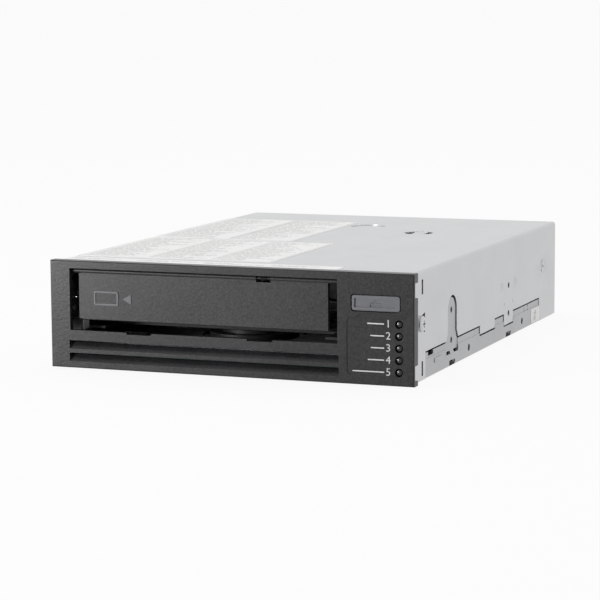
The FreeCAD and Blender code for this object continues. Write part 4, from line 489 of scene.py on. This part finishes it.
@dataclass
class Workpiece:
    """A piece on the bench: a primitive that operators shape into something real."""

    name: str
    item: bpy.types.Object = field(init=False)

    def adopt(self) -> Self:
        """Takes the primitive that was just added, and gives it the piece's name."""
        self.item = bpy.context.active_object
        self.item.name = self.name
        self.item.data.name = self.name
        return self

    def settle(self) -> Self:
        """Applies the piece's place and scale to its mesh."""
        bpy.ops.object.transform_apply(location=True, rotation=True, scale=True)
        return self

    def pick(self) -> None:
        """Leaves edit mode and makes this piece the only one selected."""
        deselect_everything()
        self.item.select_set(True)
        bpy.context.view_layer.objects.active = self.item

    def start(self, operator: Callable[..., set[str]], **settings: Any) -> Self:
        """Adds a primitive for this piece by its operator, and applies the primitive's place."""
        deselect_everything()
        operator(**settings)
        return self.adopt().settle()

    def sheet(self, centre: Vector, width: float, height: float) -> Self:
        """Starts from a flat rectangle facing +Z: its centre, width along X and height along Y."""
        deselect_everything()
        bpy.ops.mesh.primitive_plane_add(size=1, location=centre)
        self.adopt().item.scale = (width, height, 1)
        return self.settle()

    def disc(self, centre: Vector, radius: float, corners: int) -> Self:
        """Starts from a flat disc that faces +Z."""
        return self.start(bpy.ops.mesh.primitive_circle_add, radius=radius, vertices=corners,
                          fill_type="NGON", location=centre)

    def profile(self, points: list[Pair]) -> Self:
        """Starts from a flat polygon in XY that faces +Z, through points that run anticlockwise."""
        self.disc(ORIGIN, 1.0, len(points))
        for vertex, (x, y) in zip(self.item.data.vertices, points):
            vertex.co = (x, y, 0)
        self.item.data.update()
        return self

    def ball(self, centre: Vector, radius: float, rings: int) -> Self:
        """Starts from a ball, which only ever serves as a pressing tool."""
        return self.start(bpy.ops.mesh.primitive_uv_sphere_add, radius=radius, segments=2 * rings,
                          ring_count=rings, location=centre)

    def from_node(self, node: str) -> Self:
        """Starts from a copy of a CAD node's mesh, with its loose triangles merged."""
        deselect_everything()
        self.item = bpy.data.objects.new(self.name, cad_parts[node].data.copy())
        self.item.data.name = self.name
        bpy.context.scene.collection.objects.link(self.item)
        with self.editing():
            bpy.ops.mesh.remove_doubles(threshold=WELD)
        bpy.ops.mesh.customdata_custom_splitnormals_clear()
        return self

    def cut(self, tools: list["Workpiece"]) -> Self:
        """Takes the tools' shapes out of this piece, and clears the tools away."""
        for tool in tools:
            modifier = self.item.modifiers.new("cut", "BOOLEAN")
            modifier.operation = "DIFFERENCE"
            modifier.solver = "EXACT"
            modifier.object = tool.item
            self.pick()
            bpy.ops.object.modifier_apply(modifier=modifier.name)
            bpy.data.objects.remove(tool.item)
        return self

    def shift(self, wanted: FaceTest, by: Vector) -> Self:
        """Moves the faces for which wanted(centre, normal) is true."""
        with self.editing():
            self.choose(wanted)
            bpy.ops.transform.translate(value=by)
        return self

    def shrink(self, wanted: FaceTest, scale: Triple,
               centre: Vector) -> Self:
        """Scales the faces for which wanted(centre, normal) is true, about a point."""
        with self.editing():
            self.choose(wanted)
            bpy.ops.transform.resize(value=scale, center_override=centre)
        return self

    @contextmanager
    def editing(self) -> Iterator[None]:
        """Edit mode on this piece, with everything in it selected at first."""
        self.pick()
        bpy.ops.object.mode_set(mode="EDIT")
        bpy.ops.mesh.select_all(action="SELECT")
        yield
        bpy.ops.object.mode_set(mode="OBJECT")

    def choose(self, wanted: FaceTest) -> None:
        """Selects the faces for which wanted(centre, normal) is true. The piece is in edit mode."""
        bpy.ops.mesh.select_mode(type="FACE")
        bpy.ops.mesh.select_all(action="DESELECT")
        work = bmesh.from_edit_mesh(self.item.data)
        for face in work.faces:
            if wanted(face.calc_center_median(), face.normal):
                face.select_set(True)
        bmesh.update_edit_mesh(self.item.data)

    def round_corners(self, radius: float, steps: int = 4) -> Self:
        """Rounds the corners of a flat sheet."""
        with self.editing():
            bpy.ops.mesh.bevel(offset=radius, offset_type="OFFSET", segments=steps, affect="VERTICES")
        return self

    def thicken(self, thickness: float) -> Self:
        """Extrudes a flat sheet along its +Z into a plate."""
        with self.editing():
            bpy.ops.mesh.extrude_region_move(TRANSFORM_OT_translate={"value": (0, 0, thickness)})
            bpy.ops.mesh.select_all(action="SELECT")
            bpy.ops.mesh.normals_make_consistent(inside=False)
        return self

    def window(self, border: float) -> Self:
        """Cuts the middle out of a flat sheet and leaves a border, which makes a frame."""
        with self.editing():
            bpy.ops.mesh.inset(thickness=border, depth=0)
            bpy.ops.mesh.delete(type="FACE")
        return self

    def soften(self, width: float, steps: int = 2) -> Self:
        """Bevels the piece's edges with a modifier, and applies it."""
        modifier = self.item.modifiers.new("soft_edges", "BEVEL")
        modifier.width = width
        modifier.segments = steps
        modifier.limit_method = "ANGLE"
        self.pick()
        bpy.ops.object.modifier_apply(modifier=modifier.name)
        return self

    def place(self, matrix: Matrix) -> Self:
        """Moves the mesh itself, so that the object stays at the origin."""
        self.item.data.transform(matrix)
        self.item.data.update()
        return self

    def copies(self, matrices: list[Matrix]) -> Self:
        """Puts a copy with its own mesh at each place, deletes the pattern piece and joins the copies.

        Args:
            matrices: Where each copy goes, from the pattern piece's place.

        Returns:
            The joined piece.
        """
        items = []
        for matrix in matrices:
            item = self.item.copy()
            item.data = self.item.data.copy()
            item.data.transform(matrix)
            bpy.context.scene.collection.objects.link(item)
            items.append(item)
        bpy.data.objects.remove(self.item)
        deselect_everything()
        for item in items:
            item.select_set(True)
        bpy.context.view_layer.objects.active = items[0]
        if len(items) > 1:
            bpy.ops.object.join()
        return self.adopt()

    def finish(self, body: str, surface: Surface, slot: str = "",
               smooth: float = 35.0) -> bpy.types.Object:
        """Shades the piece, gives it its finish, and lets it ride on a body.

        Args:
            body: The CAD body that carries it.
            surface: The finish.
            slot: The record's material slot, if it has one for this piece. Not used.
            smooth: Edges flatter than this many degrees are shaded smooth.

        Returns:
            The finished object.
        """
        self.pick()
        bpy.ops.object.shade_smooth_by_angle(angle=math.radians(smooth))
        self.item.data.materials.clear()
        self.item.data.materials.append(surface.value.material())
        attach(self.item, body)
        LOG.info("%s: %d faces on %s", self.name, len(self.item.data.polygons), body)
        return self.item


def facing_front(origin: Vector) -> Matrix:
    """Turns a piece drawn in XY, facing +Z, to face the front (-Y), with its origin at a point."""
    return Matrix.Translation(origin) @ Matrix.Rotation(QUARTER_TURN, 4, "X")


def facing_right(origin: Vector) -> Matrix:
    """Turns a piece drawn in XY, facing +Z, to face +X: its X runs along +Y and its Y along +Z."""
    turn = Matrix(((0, 0, 1, 0), (1, 0, 0, 0), (0, 1, 0, 0), (0, 0, 0, 1)))
    return Matrix.Translation(origin) @ turn


def unit_bar(name: str) -> Workpiece:
    """A flat bar one metre wide and high, which copies() then places and sizes."""
    return Workpiece(name).sheet(ORIGIN, 1.0, 1.0).round_corners(BAR_CORNER, steps=2)


# ---------------------------------------------------------------- case, labels and screws
@dataclass
class Label:
    """A paper label on the cover: its place on the top, and the rows of plain bars printed on it."""

    name: str
    left: float
    right: float
    front: float
    back: float
    rows: int
    seed: int
    thick: float = 0.1 * MM
    corner: float = 1.2 * MM
    margin: float = 2.5 * MM
    columns: int = 2
    ruled: bool = True
    row_fill: Pair = (0.45, 1.0)
    bar_lengths: Pair = (1.2, 6.5)
    bar_share: float = 0.34
    bar_gap: float = 0.7 * MM
    bar_shortest: float = 1.0 * MM
    rule_inset: float = 0.4
    rule_line: float = 0.25 * MM
    rule_places: Pair = (0.36, 0.55)

    def build(self, top: float) -> None:
        """Lays the paper on the cover and prints it.

        Args:
            top: Height of the cover's top face.
        """
        middle = Vector(((self.left + self.right) / 2, (self.front + self.back) / 2, top))
        paper = Workpiece(self.name).sheet(middle, self.right - self.left, self.back - self.front)
        paper.round_corners(self.corner).thicken(self.thick).finish("chassis", Surface.LABEL_PAPER)
        ink_height = top + self.thick + INK_LIFT
        bar = unit_bar(self.name + "_print")
        places = self.text_bars(ink_height)
        if self.ruled:
            places += self.rules(ink_height)
        bar.copies(places).finish("chassis", Surface.LABEL_INK)

    def bar_at(self, x0: float, x1: float, y: float, height: float, z: float) -> Matrix:
        """The place of one printed bar, from the unit square at the origin."""
        size = Matrix.Diagonal((x1 - x0, height, 1, 1))
        return Matrix.Translation(Vector(((x0 + x1) / 2, y, z))) @ size

    def text_bars(self, z: float) -> list[Matrix]:
        """Rows of short bars where a printed label has its lines of small type."""
        dice = random.Random(self.seed)
        pitch = (self.back - self.front - 2 * self.margin) / self.rows
        column = (self.right - self.left - self.margin) / self.columns
        bars = []
        for row in range(self.rows):
            y = self.back - self.margin - (row + 0.5) * pitch
            for part in range(self.columns):
                x = self.left + self.margin + part * column
                end = x + (column - self.margin) * dice.uniform(*self.row_fill)
                while x < end - self.bar_shortest:
                    length = min(dice.uniform(*self.bar_lengths) * MM, end - x)
                    bars.append(self.bar_at(x, x + length, y, pitch * self.bar_share, z))
                    x += length + self.bar_gap
        return bars

    def rules(self, z: float) -> list[Matrix]:
        """The thin frame and the two dividing lines of the label."""
        inset = self.margin * self.rule_inset
        line = self.rule_line
        across, along = self.rule_places
        x0, x1 = self.left + inset, self.right - inset
        y0, y1 = self.front + inset, self.back - inset
        lines = [self.bar_at(x0, x1, y, line, z) for y in (y0, y1, y0 + (y1 - y0) * across)]
        for x in (x0, x1, x0 + (x1 - x0) * along):
            lines.append(self.bar_at(x - line / 2, x + line / 2, (y0 + y1) / 2, y1 - y0, z))
        return lines


@dataclass
class Casework(Painted):
    """Cover, pan, rear panel and their screws, with the labels that lie on them."""

    pieces: Pieces = (
        (Surface.COVER_STEEL, ("top_cover",)),
        (Surface.PAN_STEEL, ("base_pan", "rear_panel")),
        (Surface.SCREW_NICKEL, ("bezel_screws", "cover_screws", "deck_screws")),
    )
    sticker_length: float = 13.5 * MM
    sticker_height: float = 6.2 * MM
    sticker_ahead: float = 26.5 * MM
    sticker_rise: float = 0.9 * MM
    sticker_thick: float = 0.08 * MM
    sticker_corner: float = 0.6 * MM
    cell: float = 0.55 * MM
    cells_across: int = 8
    cell_chance: float = 0.55
    cell_seed: int = 3

    def labels(self) -> list[Label]:
        """The three labels on the cover, placed from the cover's own box."""
        low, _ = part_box("top_cover")
        front, left = low.y, low.x
        return [
            Label("rear_label", left + 0.5 * MM, left + 63.0 * MM, front + 90.5 * MM, front + 173.5 * MM,
                  rows=34, seed=4),
            Label("front_label", left + 1.0 * MM, left + 83.0 * MM, front + 17.5 * MM, front + 88.0 * MM,
                  rows=28, seed=9, columns=3),
            Label("strip_label", left + 1.0 * MM, left + 115.0 * MM, front + 3.5 * MM, front + 13.0 * MM,
                  rows=2, seed=5, columns=4, ruled=False),
        ]

    def build(self) -> None:
        """Paints the steel and adds the labels and the side sticker."""
        super().build()
        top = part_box("top_cover")[1].z
        for label in self.labels():
            label.build(top)
        self.sticker()

    def sticker(self) -> None:
        """The small sticker on the pan's right wall, with a plain grey patch."""
        low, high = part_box("base_pan")
        middle = Vector((high.x, high.y - self.sticker_ahead - self.sticker_length / 2,
                         low.z + self.sticker_rise + self.sticker_height / 2))
        paper = Workpiece("side_sticker").sheet(ORIGIN, self.sticker_length, self.sticker_height)
        paper.round_corners(self.sticker_corner).thicken(self.sticker_thick).place(facing_right(middle))
        paper.finish("chassis", Surface.LABEL_PAPER)
        patch = unit_bar("side_sticker_print")
        cell, half = self.cell, (self.cells_across - 1) / 2
        dice = random.Random(self.cell_seed)
        lifted = facing_right(middle + Vector((self.sticker_thick + INK_LIFT, 0, 0)))
        cells = []
        for column in range(self.cells_across):
            for row in range(self.cells_across):
                if dice.random() < self.cell_chance:
                    spot = Vector(((column - half) * cell, (row - half) * cell, 0))
                    cells.append(lifted @ Matrix.Translation(spot) @ Matrix.Diagonal((cell, cell, 1, 1)))
        patch.copies(cells).finish("chassis", Surface.LABEL_INK)


@dataclass
class SideWalls:
    """Cover, pan and case screws with the pressings of both side walls worked out.

    Rows are distances behind the bezel's face and heights are above the pan's underside, in millimetres.
    """

    rows: Pair = (51.9, 131.15)
    pan_under: float = 0.3
    sheet: float = 1.0
    overreach: float = 0.5
    bite: float = 0.1
    skirt: Pair = (18.1, 180.2)
    skirt_top: float = 9.7
    seam_top: float = 10.45
    long_tab: Triple = (89.2, 110.8, 6.4)
    hole_tab: Triple = (124.15, 138.15, 5.3)
    trim: float = 0.35
    tongue_half: float = 5.1
    tongue_foot: float = 7.3
    tongue_shoulder: float = 13.5
    tongue_crown: float = 21.64
    tongue_neck: float = 6.2
    crown_steps: int = 16
    tongue_gap: float = 0.9
    tongue_sink: float = 0.45
    dimple_spread: float = 10.2
    dimple_height: float = 21.84
    dimple_radius: float = 2.4
    dimple_centre: float = 3.2
    dimple_rings: int = 48
    screw_row: float = 187.0
    screw_height: float = 23.6
    screw_scale: float = 0.73
    screw_sink: float = 0.3
    dish_radius: float = 4.6
    dish_centre: float = 20.0
    dish_rings: int = 96
    window: tuple[float, float, float, float] = (-3.9, 3.3, 0.15, 2.3)
    window_deep: float = 4.0
    bead: Triple = (29.0, 38.6, 5.3)
    bead_width: float = 1.9
    bead_proud: float = 0.3
    bead_round: float = 0.45
    bead_soft: float = 0.12

    def half(self) -> float:
        """Half of the case's width, which is where its walls' outer faces lie."""
        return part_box("base_pan")[1].x

    def spot(self, row: float, height: float) -> Pair:
        """Y and Z of a place on the wall, in metres."""
        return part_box("bezel")[0].y + row * MM, (self.pan_under + height) * MM

    def punch(self, outline: list[Pair], deep: float) -> list[Workpiece]:
        """Cutting tools of one outline of rows and heights, one for each wall, reaching deep into it."""
        points = [self.spot(row, height) for row, height in outline]
        length = (deep + self.sheet) * MM
        tools = []
        for start in (self.half() - deep * MM, -self.half() - self.sheet * MM):
            tool = Workpiece("wall_punch").profile(points).thicken(length)
            tools.append(tool.place(facing_right(Vector((start, 0, 0)))))
        return tools

    def slot(self, row0: float, row1: float, low: float, high: float, deep: float) -> list[Workpiece]:
        """Cutting tools for a rectangular opening."""
        return self.punch([(row0, low), (row1, low), (row1, high), (row0, high)], deep)

    def pressing(self, row: float, height: float, radius: float, centre: float,
                 rings: int) -> list[Workpiece]:
        """Two balls that leave a round hollow of a radius, from a centre that far outside the wall."""
        y, z = self.spot(row, height)
        reach = math.hypot(radius, centre) * MM
        places = [Vector((side * (self.half() + centre * MM), y, z)) for side in (-1, 1)]
        return [Workpiece("wall_ball").ball(place, reach, rings) for place in places]

    def tongue(self) -> list[Pair]:
        """Outline of the opening round the mounting tongue: flared foot, straight sides, round top."""
        row = self.rows[0]
        half, foot = self.tongue_half + self.tongue_gap, self.tongue_foot + self.tongue_gap
        turns = [math.pi * step / self.crown_steps for step in range(self.crown_steps + 1)]
        crown = [(row + half * math.cos(turn), self.tongue_crown + half * math.sin(turn))
                 for turn in turns]
        sides = [(foot, -self.sheet), (foot, self.skirt_top), (half, self.tongue_shoulder)]
        right = [(row + reach, height) for reach, height in sides]
        left = [(row - reach, height) for reach, height in reversed(sides)]
        return right + crown + left

    def cover(self) -> None:
        """The cover with wider seams, an opening round the tongue, dimples and screw dishes."""
        deep, bite, top = self.sheet + self.overreach, self.bite, self.seam_top
        tools = self.punch(self.tongue(), deep)
        breaks = (self.skirt[0], *self.long_tab[:2], *self.hole_tab[:2], self.skirt[1])
        for row0, row1 in zip(breaks[::2], breaks[1::2]):
            tools += self.slot(row0, row1, self.skirt_top, top, deep)
        for row0, row1, low in (self.long_tab, self.hole_tab):
            tools += self.slot(row0 - bite, row1 + bite, low - 2 * bite, low + self.trim, deep)
            tools += self.slot(row0 - bite, row0 + self.trim, low, top, deep)
            tools += self.slot(row1 - self.trim, row1 + bite, low, top, deep)
        for side in (-1, 1):
            tools += self.pressing(self.rows[1] + side * self.dimple_spread, self.dimple_height,
                                   self.dimple_radius, self.dimple_centre, self.dimple_rings)
        tools += self.pressing(self.screw_row, self.screw_height, self.dish_radius, self.dish_centre,
                               self.dish_rings)
        cover = Workpiece("cover_pressed").from_node("top_cover").cut(tools)
        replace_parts(cover.finish("chassis", Surface.COVER_STEEL, "case_steel"), "top_cover")

    def pan(self) -> None:
        """The pan with its tongue set in and taller openings at the foot of the collars."""
        near, far, low, high = self.window
        tools = [tool for row in self.rows
                 for tool in self.slot(row + near, row + far, low, high, self.window_deep)]
        back, _ = self.spot(self.rows[0], 0)
        _, neck = self.spot(0, self.tongue_neck)
        foot = (self.tongue_foot + self.bite) * MM
        inner = self.half() - (self.sheet + self.bite) * MM
        pan = Workpiece("pan_pressed").from_node("base_pan").cut(tools)
        for side in (-1, 1):
            pan.shift(lambda centre, normal, side=side: abs(centre.y - back) < foot and centre.z > neck
                      and side * centre.x > inner, Vector((-side * self.tongue_sink * MM, 0, 0)))
        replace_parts(pan.finish("chassis", Surface.PAN_STEEL, "case_steel"), "base_pan")

    def screws(self) -> None:
        """The case screws, smaller than their countersinks and set in, so that a ring shows."""
        y, z = self.spot(self.screw_row, self.screw_height)
        pair = Workpiece("case_screws_sunk").from_node("cover_screws")
        for side in (-1, 1):
            pair.shrink(lambda centre, normal, side=side: side * centre.x > 0,
                        (1, self.screw_scale, self.screw_scale), Vector((side * self.half(), y, z)))
            pair.shift(lambda centre, normal, side=side: side * centre.x > 0,
                       Vector((-side * self.screw_sink * MM, 0, 0)))
        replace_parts(pair.finish("chassis", Surface.SCREW_NICKEL, "screw_steel"), "cover_screws")

    def beads(self) -> None:
        """The short pressed bead low on each side of the pan."""
        row0, row1, height = self.bead
        y, z = self.spot((row0 + row1) / 2, height)
        for side, name in ((1, "right_pan_bead"), (-1, "left_pan_bead")):
            bead = Workpiece(name).sheet(ORIGIN, (row1 - row0) * MM, self.bead_width * MM)
            bead.round_corners(self.bead_width * self.bead_round * MM).thicken(self.bead_proud * MM)
            bead.soften(self.bead_soft * MM, steps=3)
            turn = facing_right(Vector((self.half(), y, z)))
            if side < 0:
                turn = (Matrix.Translation(Vector((0, 2 * y, 0)))
                        @ Matrix.Rotation(math.pi, 4, "Z") @ turn)
            bead.place(turn).finish("chassis", Surface.PAN_STEEL, "case_steel")

    def build(self) -> None:
        """Works out both walls."""
        self.cover()
        self.pan()
        self.screws()
        self.beads()


# ---------------------------------------------------------------- front panel
@dataclass
class FrontPanel(Painted):
    """Bezel, door, button with its spring, and lamps, with the print and raised pictogram on them."""

    pieces: Pieces = (
        (Surface.BEZEL_ABS, ("bezel",)),
        (Surface.DOOR_ABS, ("cartridge_door",)),
        (Surface.BUTTON_ABS, ("eject_button",)),
        (Surface.LAMP_LENS, ("lamp_lenses",)),
        (Surface.BLACKENED_STEEL, ("hinge_rod",)),
        (Surface.SPRING_WIRE, ("door_spring", "button_spring")),
    )
    lamp_count: int = 5
    numeral_height: float = 2.9 * MM
    numeral_gap: float = 1.35 * MM
    numeral_room: float = 2.6 * MM
    digit_share: float = 0.72
    rule_height: float = 0.45 * MM
    rule_lengths: tuple[float, ...] = (6.6, 5.4, 5.2, 6.4, 12.4)
    field_sink: float = 0.25 * MM
    ink: float = 0.03 * MM
    press_travel: float = 1.0 * MM
    emblem_left: float = 14.0 * MM
    emblem_rise: float = 8.6 * MM
    emblem_set_in: float = 0.35 * MM
    emblem_width: float = 10.5 * MM
    emblem_height: float = 5.6 * MM
    emblem_line: float = 0.75 * MM
    emblem_gap: float = 4.2 * MM
    emblem_proud: float = 0.22 * MM
    emblem_corner: float = 0.8 * MM
    emblem_soft: float = 0.05 * MM
    arrow_share: float = 0.42
    arrow_corner: float = 0.3 * MM
    arrow_soft: float = 0.04 * MM

    def build(self) -> None:
        """Paints the front's pieces, and adds its print, its pictogram and the button's spring."""
        super().build()
        self.numerals()
        self.rules()
        self.emblem()
        self.coil()

    def coil(self) -> None:
        """The eject button's spring: a copy of the CAD spring, with a mesh of its own."""
        coil = Workpiece("button_coil").from_node("button_spring")
        coil = coil.finish("chassis", Surface.SPRING_WIRE, "spring_steel")
        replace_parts(coil, "button_spring")
        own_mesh(coil)

    def lamp_centres(self) -> list[float]:
        """Heights of the lamps, from the top one down, from the lenses' box."""
        low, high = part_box("lamp_lenses")
        radius = (high.x - low.x) / 2
        step = (high.z - low.z - 2 * radius) / (self.lamp_count - 1)
        return [high.z - radius - row * step for row in range(self.lamp_count)]

    def ink_plane(self) -> float:
        """Y of the printed face, which is the floor of the shallow field round the lamps."""
        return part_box("bezel")[0].y + self.field_sink - self.ink

    def numerals(self) -> None:
        """A plain number beside each lamp."""
        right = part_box("lamp_lenses")[0].x - self.numeral_gap
        for number, height in enumerate(self.lamp_centres(), 1):
            deselect_everything()
            bpy.ops.object.text_add(location=(0, 0, 0))
            text = bpy.context.active_object
            text.data.body = str(number)
            text.data.size = self.numeral_height / self.digit_share
            text.data.align_x = "RIGHT"
            text.data.align_y = "CENTER"
            text.data.extrude = self.ink / 2
            bpy.ops.object.convert(target="MESH")
            numeral = Workpiece(f"lamp_numeral_{number}").adopt()
            numeral.place(facing_front(Vector((right, self.ink_plane() + self.ink / 2, height))))
            numeral.finish("chassis", Surface.PANEL_INK)

    def rules(self) -> None:
        """Thin printed rules that lead up to the numbers."""
        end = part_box("lamp_lenses")[0].x - self.numeral_gap - self.numeral_room
        bar = unit_bar("lamp_rules")
        places = []
        for length, height in zip(self.rule_lengths, self.lamp_centres()):
            spot = facing_front(Vector((end - length * MM / 2, self.ink_plane(), height)))
            places.append(spot @ Matrix.Diagonal((length * MM, self.rule_height, 1, 1)))
        bar.copies(places).finish("chassis", Surface.PANEL_INK)

    def emblem(self) -> None:
        """A plain raised pictogram on the door: a cartridge's outline, and an arrow head aimed at it."""
        low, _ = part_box("cartridge_door")
        face = Vector((low.x + self.emblem_left, low.y + self.emblem_set_in, low.z + self.emblem_rise))
        case = Workpiece("door_pictogram_case").sheet(ORIGIN, self.emblem_width, self.emblem_height)
        case.round_corners(self.emblem_corner).window(self.emblem_line)
        case.thicken(self.emblem_proud).soften(self.emblem_soft)
        case.place(facing_front(face)).finish("door", Surface.EMBLEM_ABS, "door_plastic")
        arrow = Workpiece("door_pictogram_arrow").disc(
            ORIGIN, self.emblem_height * self.arrow_share, corners=3)
        arrow.round_corners(self.arrow_corner, steps=2).thicken(self.emblem_proud)
        arrow.soften(self.arrow_soft, steps=1)
        aside = Vector((self.emblem_width / 2 + self.emblem_gap, 0, 0))
        arrow.place(facing_front(face + aside) @ Matrix.Rotation(QUARTER_TURN, 4, "Z"))
        arrow.finish("door", Surface.EMBLEM_ABS, "door_plastic")


# ---------------------------------------------------------------- mechanism and boards
@dataclass
class Mechanism(Painted):
    """Loader, reel drives and tape path: the CAD pieces in their finishes, the loader's near-black steel
    being painted shade.
    """

    pieces: Pieces = (
        (Surface.CAST_DECK, ("deck", "head_carriage", "threader_arm")),
        (Surface.BLACKENED_STEEL, ("carrier", "right_frame", "left_frame")),
        (Surface.BRACKET_STEEL, ("right_cam_plate", "left_cam_plate", "slider_strap", "gear_bracket")),
        (Surface.GROUND_STEEL, ("carrier_pins", "roller_posts", "head_rods", "lead_screw", "threader_post",
                                "leader_grabber")),
        (Surface.GUIDE_NYLON, ("entry_guides",)),
        (Surface.GEAR_ACETAL, ("last_load_gear", "first_load_gear", "motor_pinion", "threader_pinion",
                               "slider_rack")),
        (Surface.MOTOR_CAN, ("load_motor", "threader_motor", "supply_motor", "takeup_motor",
                             "head_stepper")),
        (Surface.TURNED_ALUMINIUM, ("guide_roller_1", "guide_roller_2", "guide_roller_3",
                                    "guide_roller_4")),
        (Surface.BLACK_NYLON, ("supply_clutch", "takeup_reel")),
        (Surface.REEL_FLANGE, ("takeup_flange",)),
        (Surface.HEAD_CERAMIC, ("tape_head",)),
    )


@dataclass
class Boards(Painted):
    """Circuit boards, their chips, sockets and screws."""

    pieces: Pieces = (
        (Surface.BOARD, ("main_board", "front_board")),
        (Surface.CHIP_EPOXY, ("board_chips",)),
        (Surface.SOCKET_POLYMER, ("sas_connector", "bus_connector", "ribbon_sockets", "eject_switch")),
        (Surface.LAMP_BODY, ("status_leds",)),
        (Surface.FLAT_CABLE, ("front_ribbon",)),
        (Surface.SCREW_NICKEL, ("board_screws",)),
    )


# ---------------------------------------------------------------- studio
@dataclass
class Softbox:
    """A rectangular lamp: its place, what it points at, its size and its power."""

    name: str
    place: Triple
    aim: Triple
    width: float
    height: float
    power: float

    def build(self) -> None:
        """Adds the lamp."""
        light = bpy.data.lights.new(self.name, "AREA")
        light.shape = "RECTANGLE"
        light.size = self.width
        light.size_y = self.height
        light.energy = self.power
        lamp = bpy.data.objects.new(self.name, light)
        lamp.location = self.place
        lamp.rotation_euler = (Vector(self.aim) - Vector(self.place)).to_track_quat("-Z", "Y").to_euler()
        lamp.visible_camera = False
        bpy.context.scene.collection.objects.link(lamp)


@dataclass
class Studio:
    """A white floor, an even white surround, soft lamps and the camera."""

    camera_place: Triple = (0.33525, -0.89454, 0.14446)
    yaw: float = -21.116
    pitch: float = 7.641
    roll: float = -0.343
    lens: float = 137.58
    floor_size: float = 400.0
    floor_colour: str = "#E9E9E9"
    floor_glow: float = 0.9
    front_level: float = 0.12
    back_level: float = 1.0
    level_bounds: Pair = (-0.85, 0.15)
    sensor: float = 36.0
    clip: Pair = (0.01, 1000.0)
    lamps: tuple[Softbox, ...] = (
        Softbox("low_left_softbox", (-0.56, -0.74, 0.10), (-0.06, -0.1, 0.03), 0.2, 0.2, 7.0),
        Softbox("top_softbox", (-0.2, 0.1, 1.4), (0, 0, 0.0), 1.2, 1.2, 2.5),
    )

    def build(self) -> None:
        """Adds everything that the drive is seen in."""
        bpy.context.scene.view_settings.view_transform = "Standard"
        self.world()
        self.floor()
        for lamp in self.lamps:
            lamp.build()
        self.camera()

    def background_rays(self, graph: Graph) -> Socket:
        """1 for the camera's rays and those that metal and glass send on, 0 for falling light."""
        rays = graph.add("ShaderNodeLightPath").outputs
        clear = graph.math("MAXIMUM", rays["Is Glossy Ray"], rays["Is Transmission Ray"])
        return graph.math("MAXIMUM", clear, rays["Is Camera Ray"])

    def world(self) -> None:
        """A white surround, whose falling light dims towards the front of the studio."""
        world = bpy.data.worlds.new("white_surround")
        bpy.context.scene.world = world
        graph = Graph(world)
        towards = graph.add("ShaderNodeTexCoord").outputs["Generated"]
        back = graph.add("ShaderNodeSeparateXYZ", links={"Vector": towards}).outputs["Y"]
        level = graph.ranged(back, self.level_bounds, (self.front_level, self.back_level))
        strength = graph.math("MAXIMUM", level, self.background_rays(graph))
        background = graph.add("ShaderNodeBackground", {"Color": linear("#FFFFFF")},
                               {"Strength": strength})
        graph.add("ShaderNodeOutputWorld", links={"Surface": background.outputs["Background"]})

    def floor(self) -> None:
        """A pale floor that keeps a soft shadow and looks nearly white to the camera."""
        floor = Workpiece("studio_floor").sheet(ORIGIN, self.floor_size, self.floor_size).item
        paper = bpy.data.materials.new("white_studio_paper")
        graph = Graph(paper)
        matt = graph.add("ShaderNodeBsdfDiffuse", {"Color": linear(self.floor_colour)}).outputs["BSDF"]
        white = {"Color": linear("#FFFFFF"), "Strength": 1.0}
        glow = graph.add("ShaderNodeEmission", white).outputs["Emission"]
        share = graph.math("MULTIPLY", self.background_rays(graph), self.floor_glow)
        both = graph.add("ShaderNodeMixShader", links={0: share, 1: matt, 2: glow}).outputs["Shader"]
        graph.add("ShaderNodeOutputMaterial", links={"Surface": both})
        floor.data.materials.append(paper)

    def camera(self) -> None:
        """The camera, turned by yaw, pitch and roll in degrees."""
        yaw, pitch, roll = (math.radians(angle) for angle in (self.yaw, self.pitch, self.roll))
        ahead = Vector((math.sin(yaw) * math.cos(pitch), math.cos(yaw) * math.cos(pitch),
                        -math.sin(pitch)))
        right = Vector((math.cos(yaw), -math.sin(yaw), 0))
        up = right.cross(ahead)
        turned_right = right * math.cos(roll) + up * math.sin(roll)
        turned_up = up * math.cos(roll) - right * math.sin(roll)
        lens = bpy.data.cameras.new("product_camera")
        lens.lens = self.lens
        lens.sensor_width = self.sensor
        lens.clip_start, lens.clip_end = self.clip
        camera = bpy.data.objects.new("product_camera", lens)
        turn = Matrix((turned_right, turned_up, -ahead)).transposed().to_4x4()
        camera.matrix_world = Matrix.Translation(Vector(self.camera_place)) @ turn
        bpy.context.scene.collection.objects.link(camera)
        bpy.context.scene.camera = camera


def main() -> None:
    """Dresses the drive, one sub-assembly after another, and sets the studio round it."""
    logging.basicConfig(level=logging.INFO, format="%(message)s")
    for assembly in (Casework(), SideWalls(), FrontPanel(), Mechanism(), Boards(), Studio()):
        assembly.build()
        LOG.info("built %s", type(assembly).__name__)


if __name__ == "__main__":
    main()
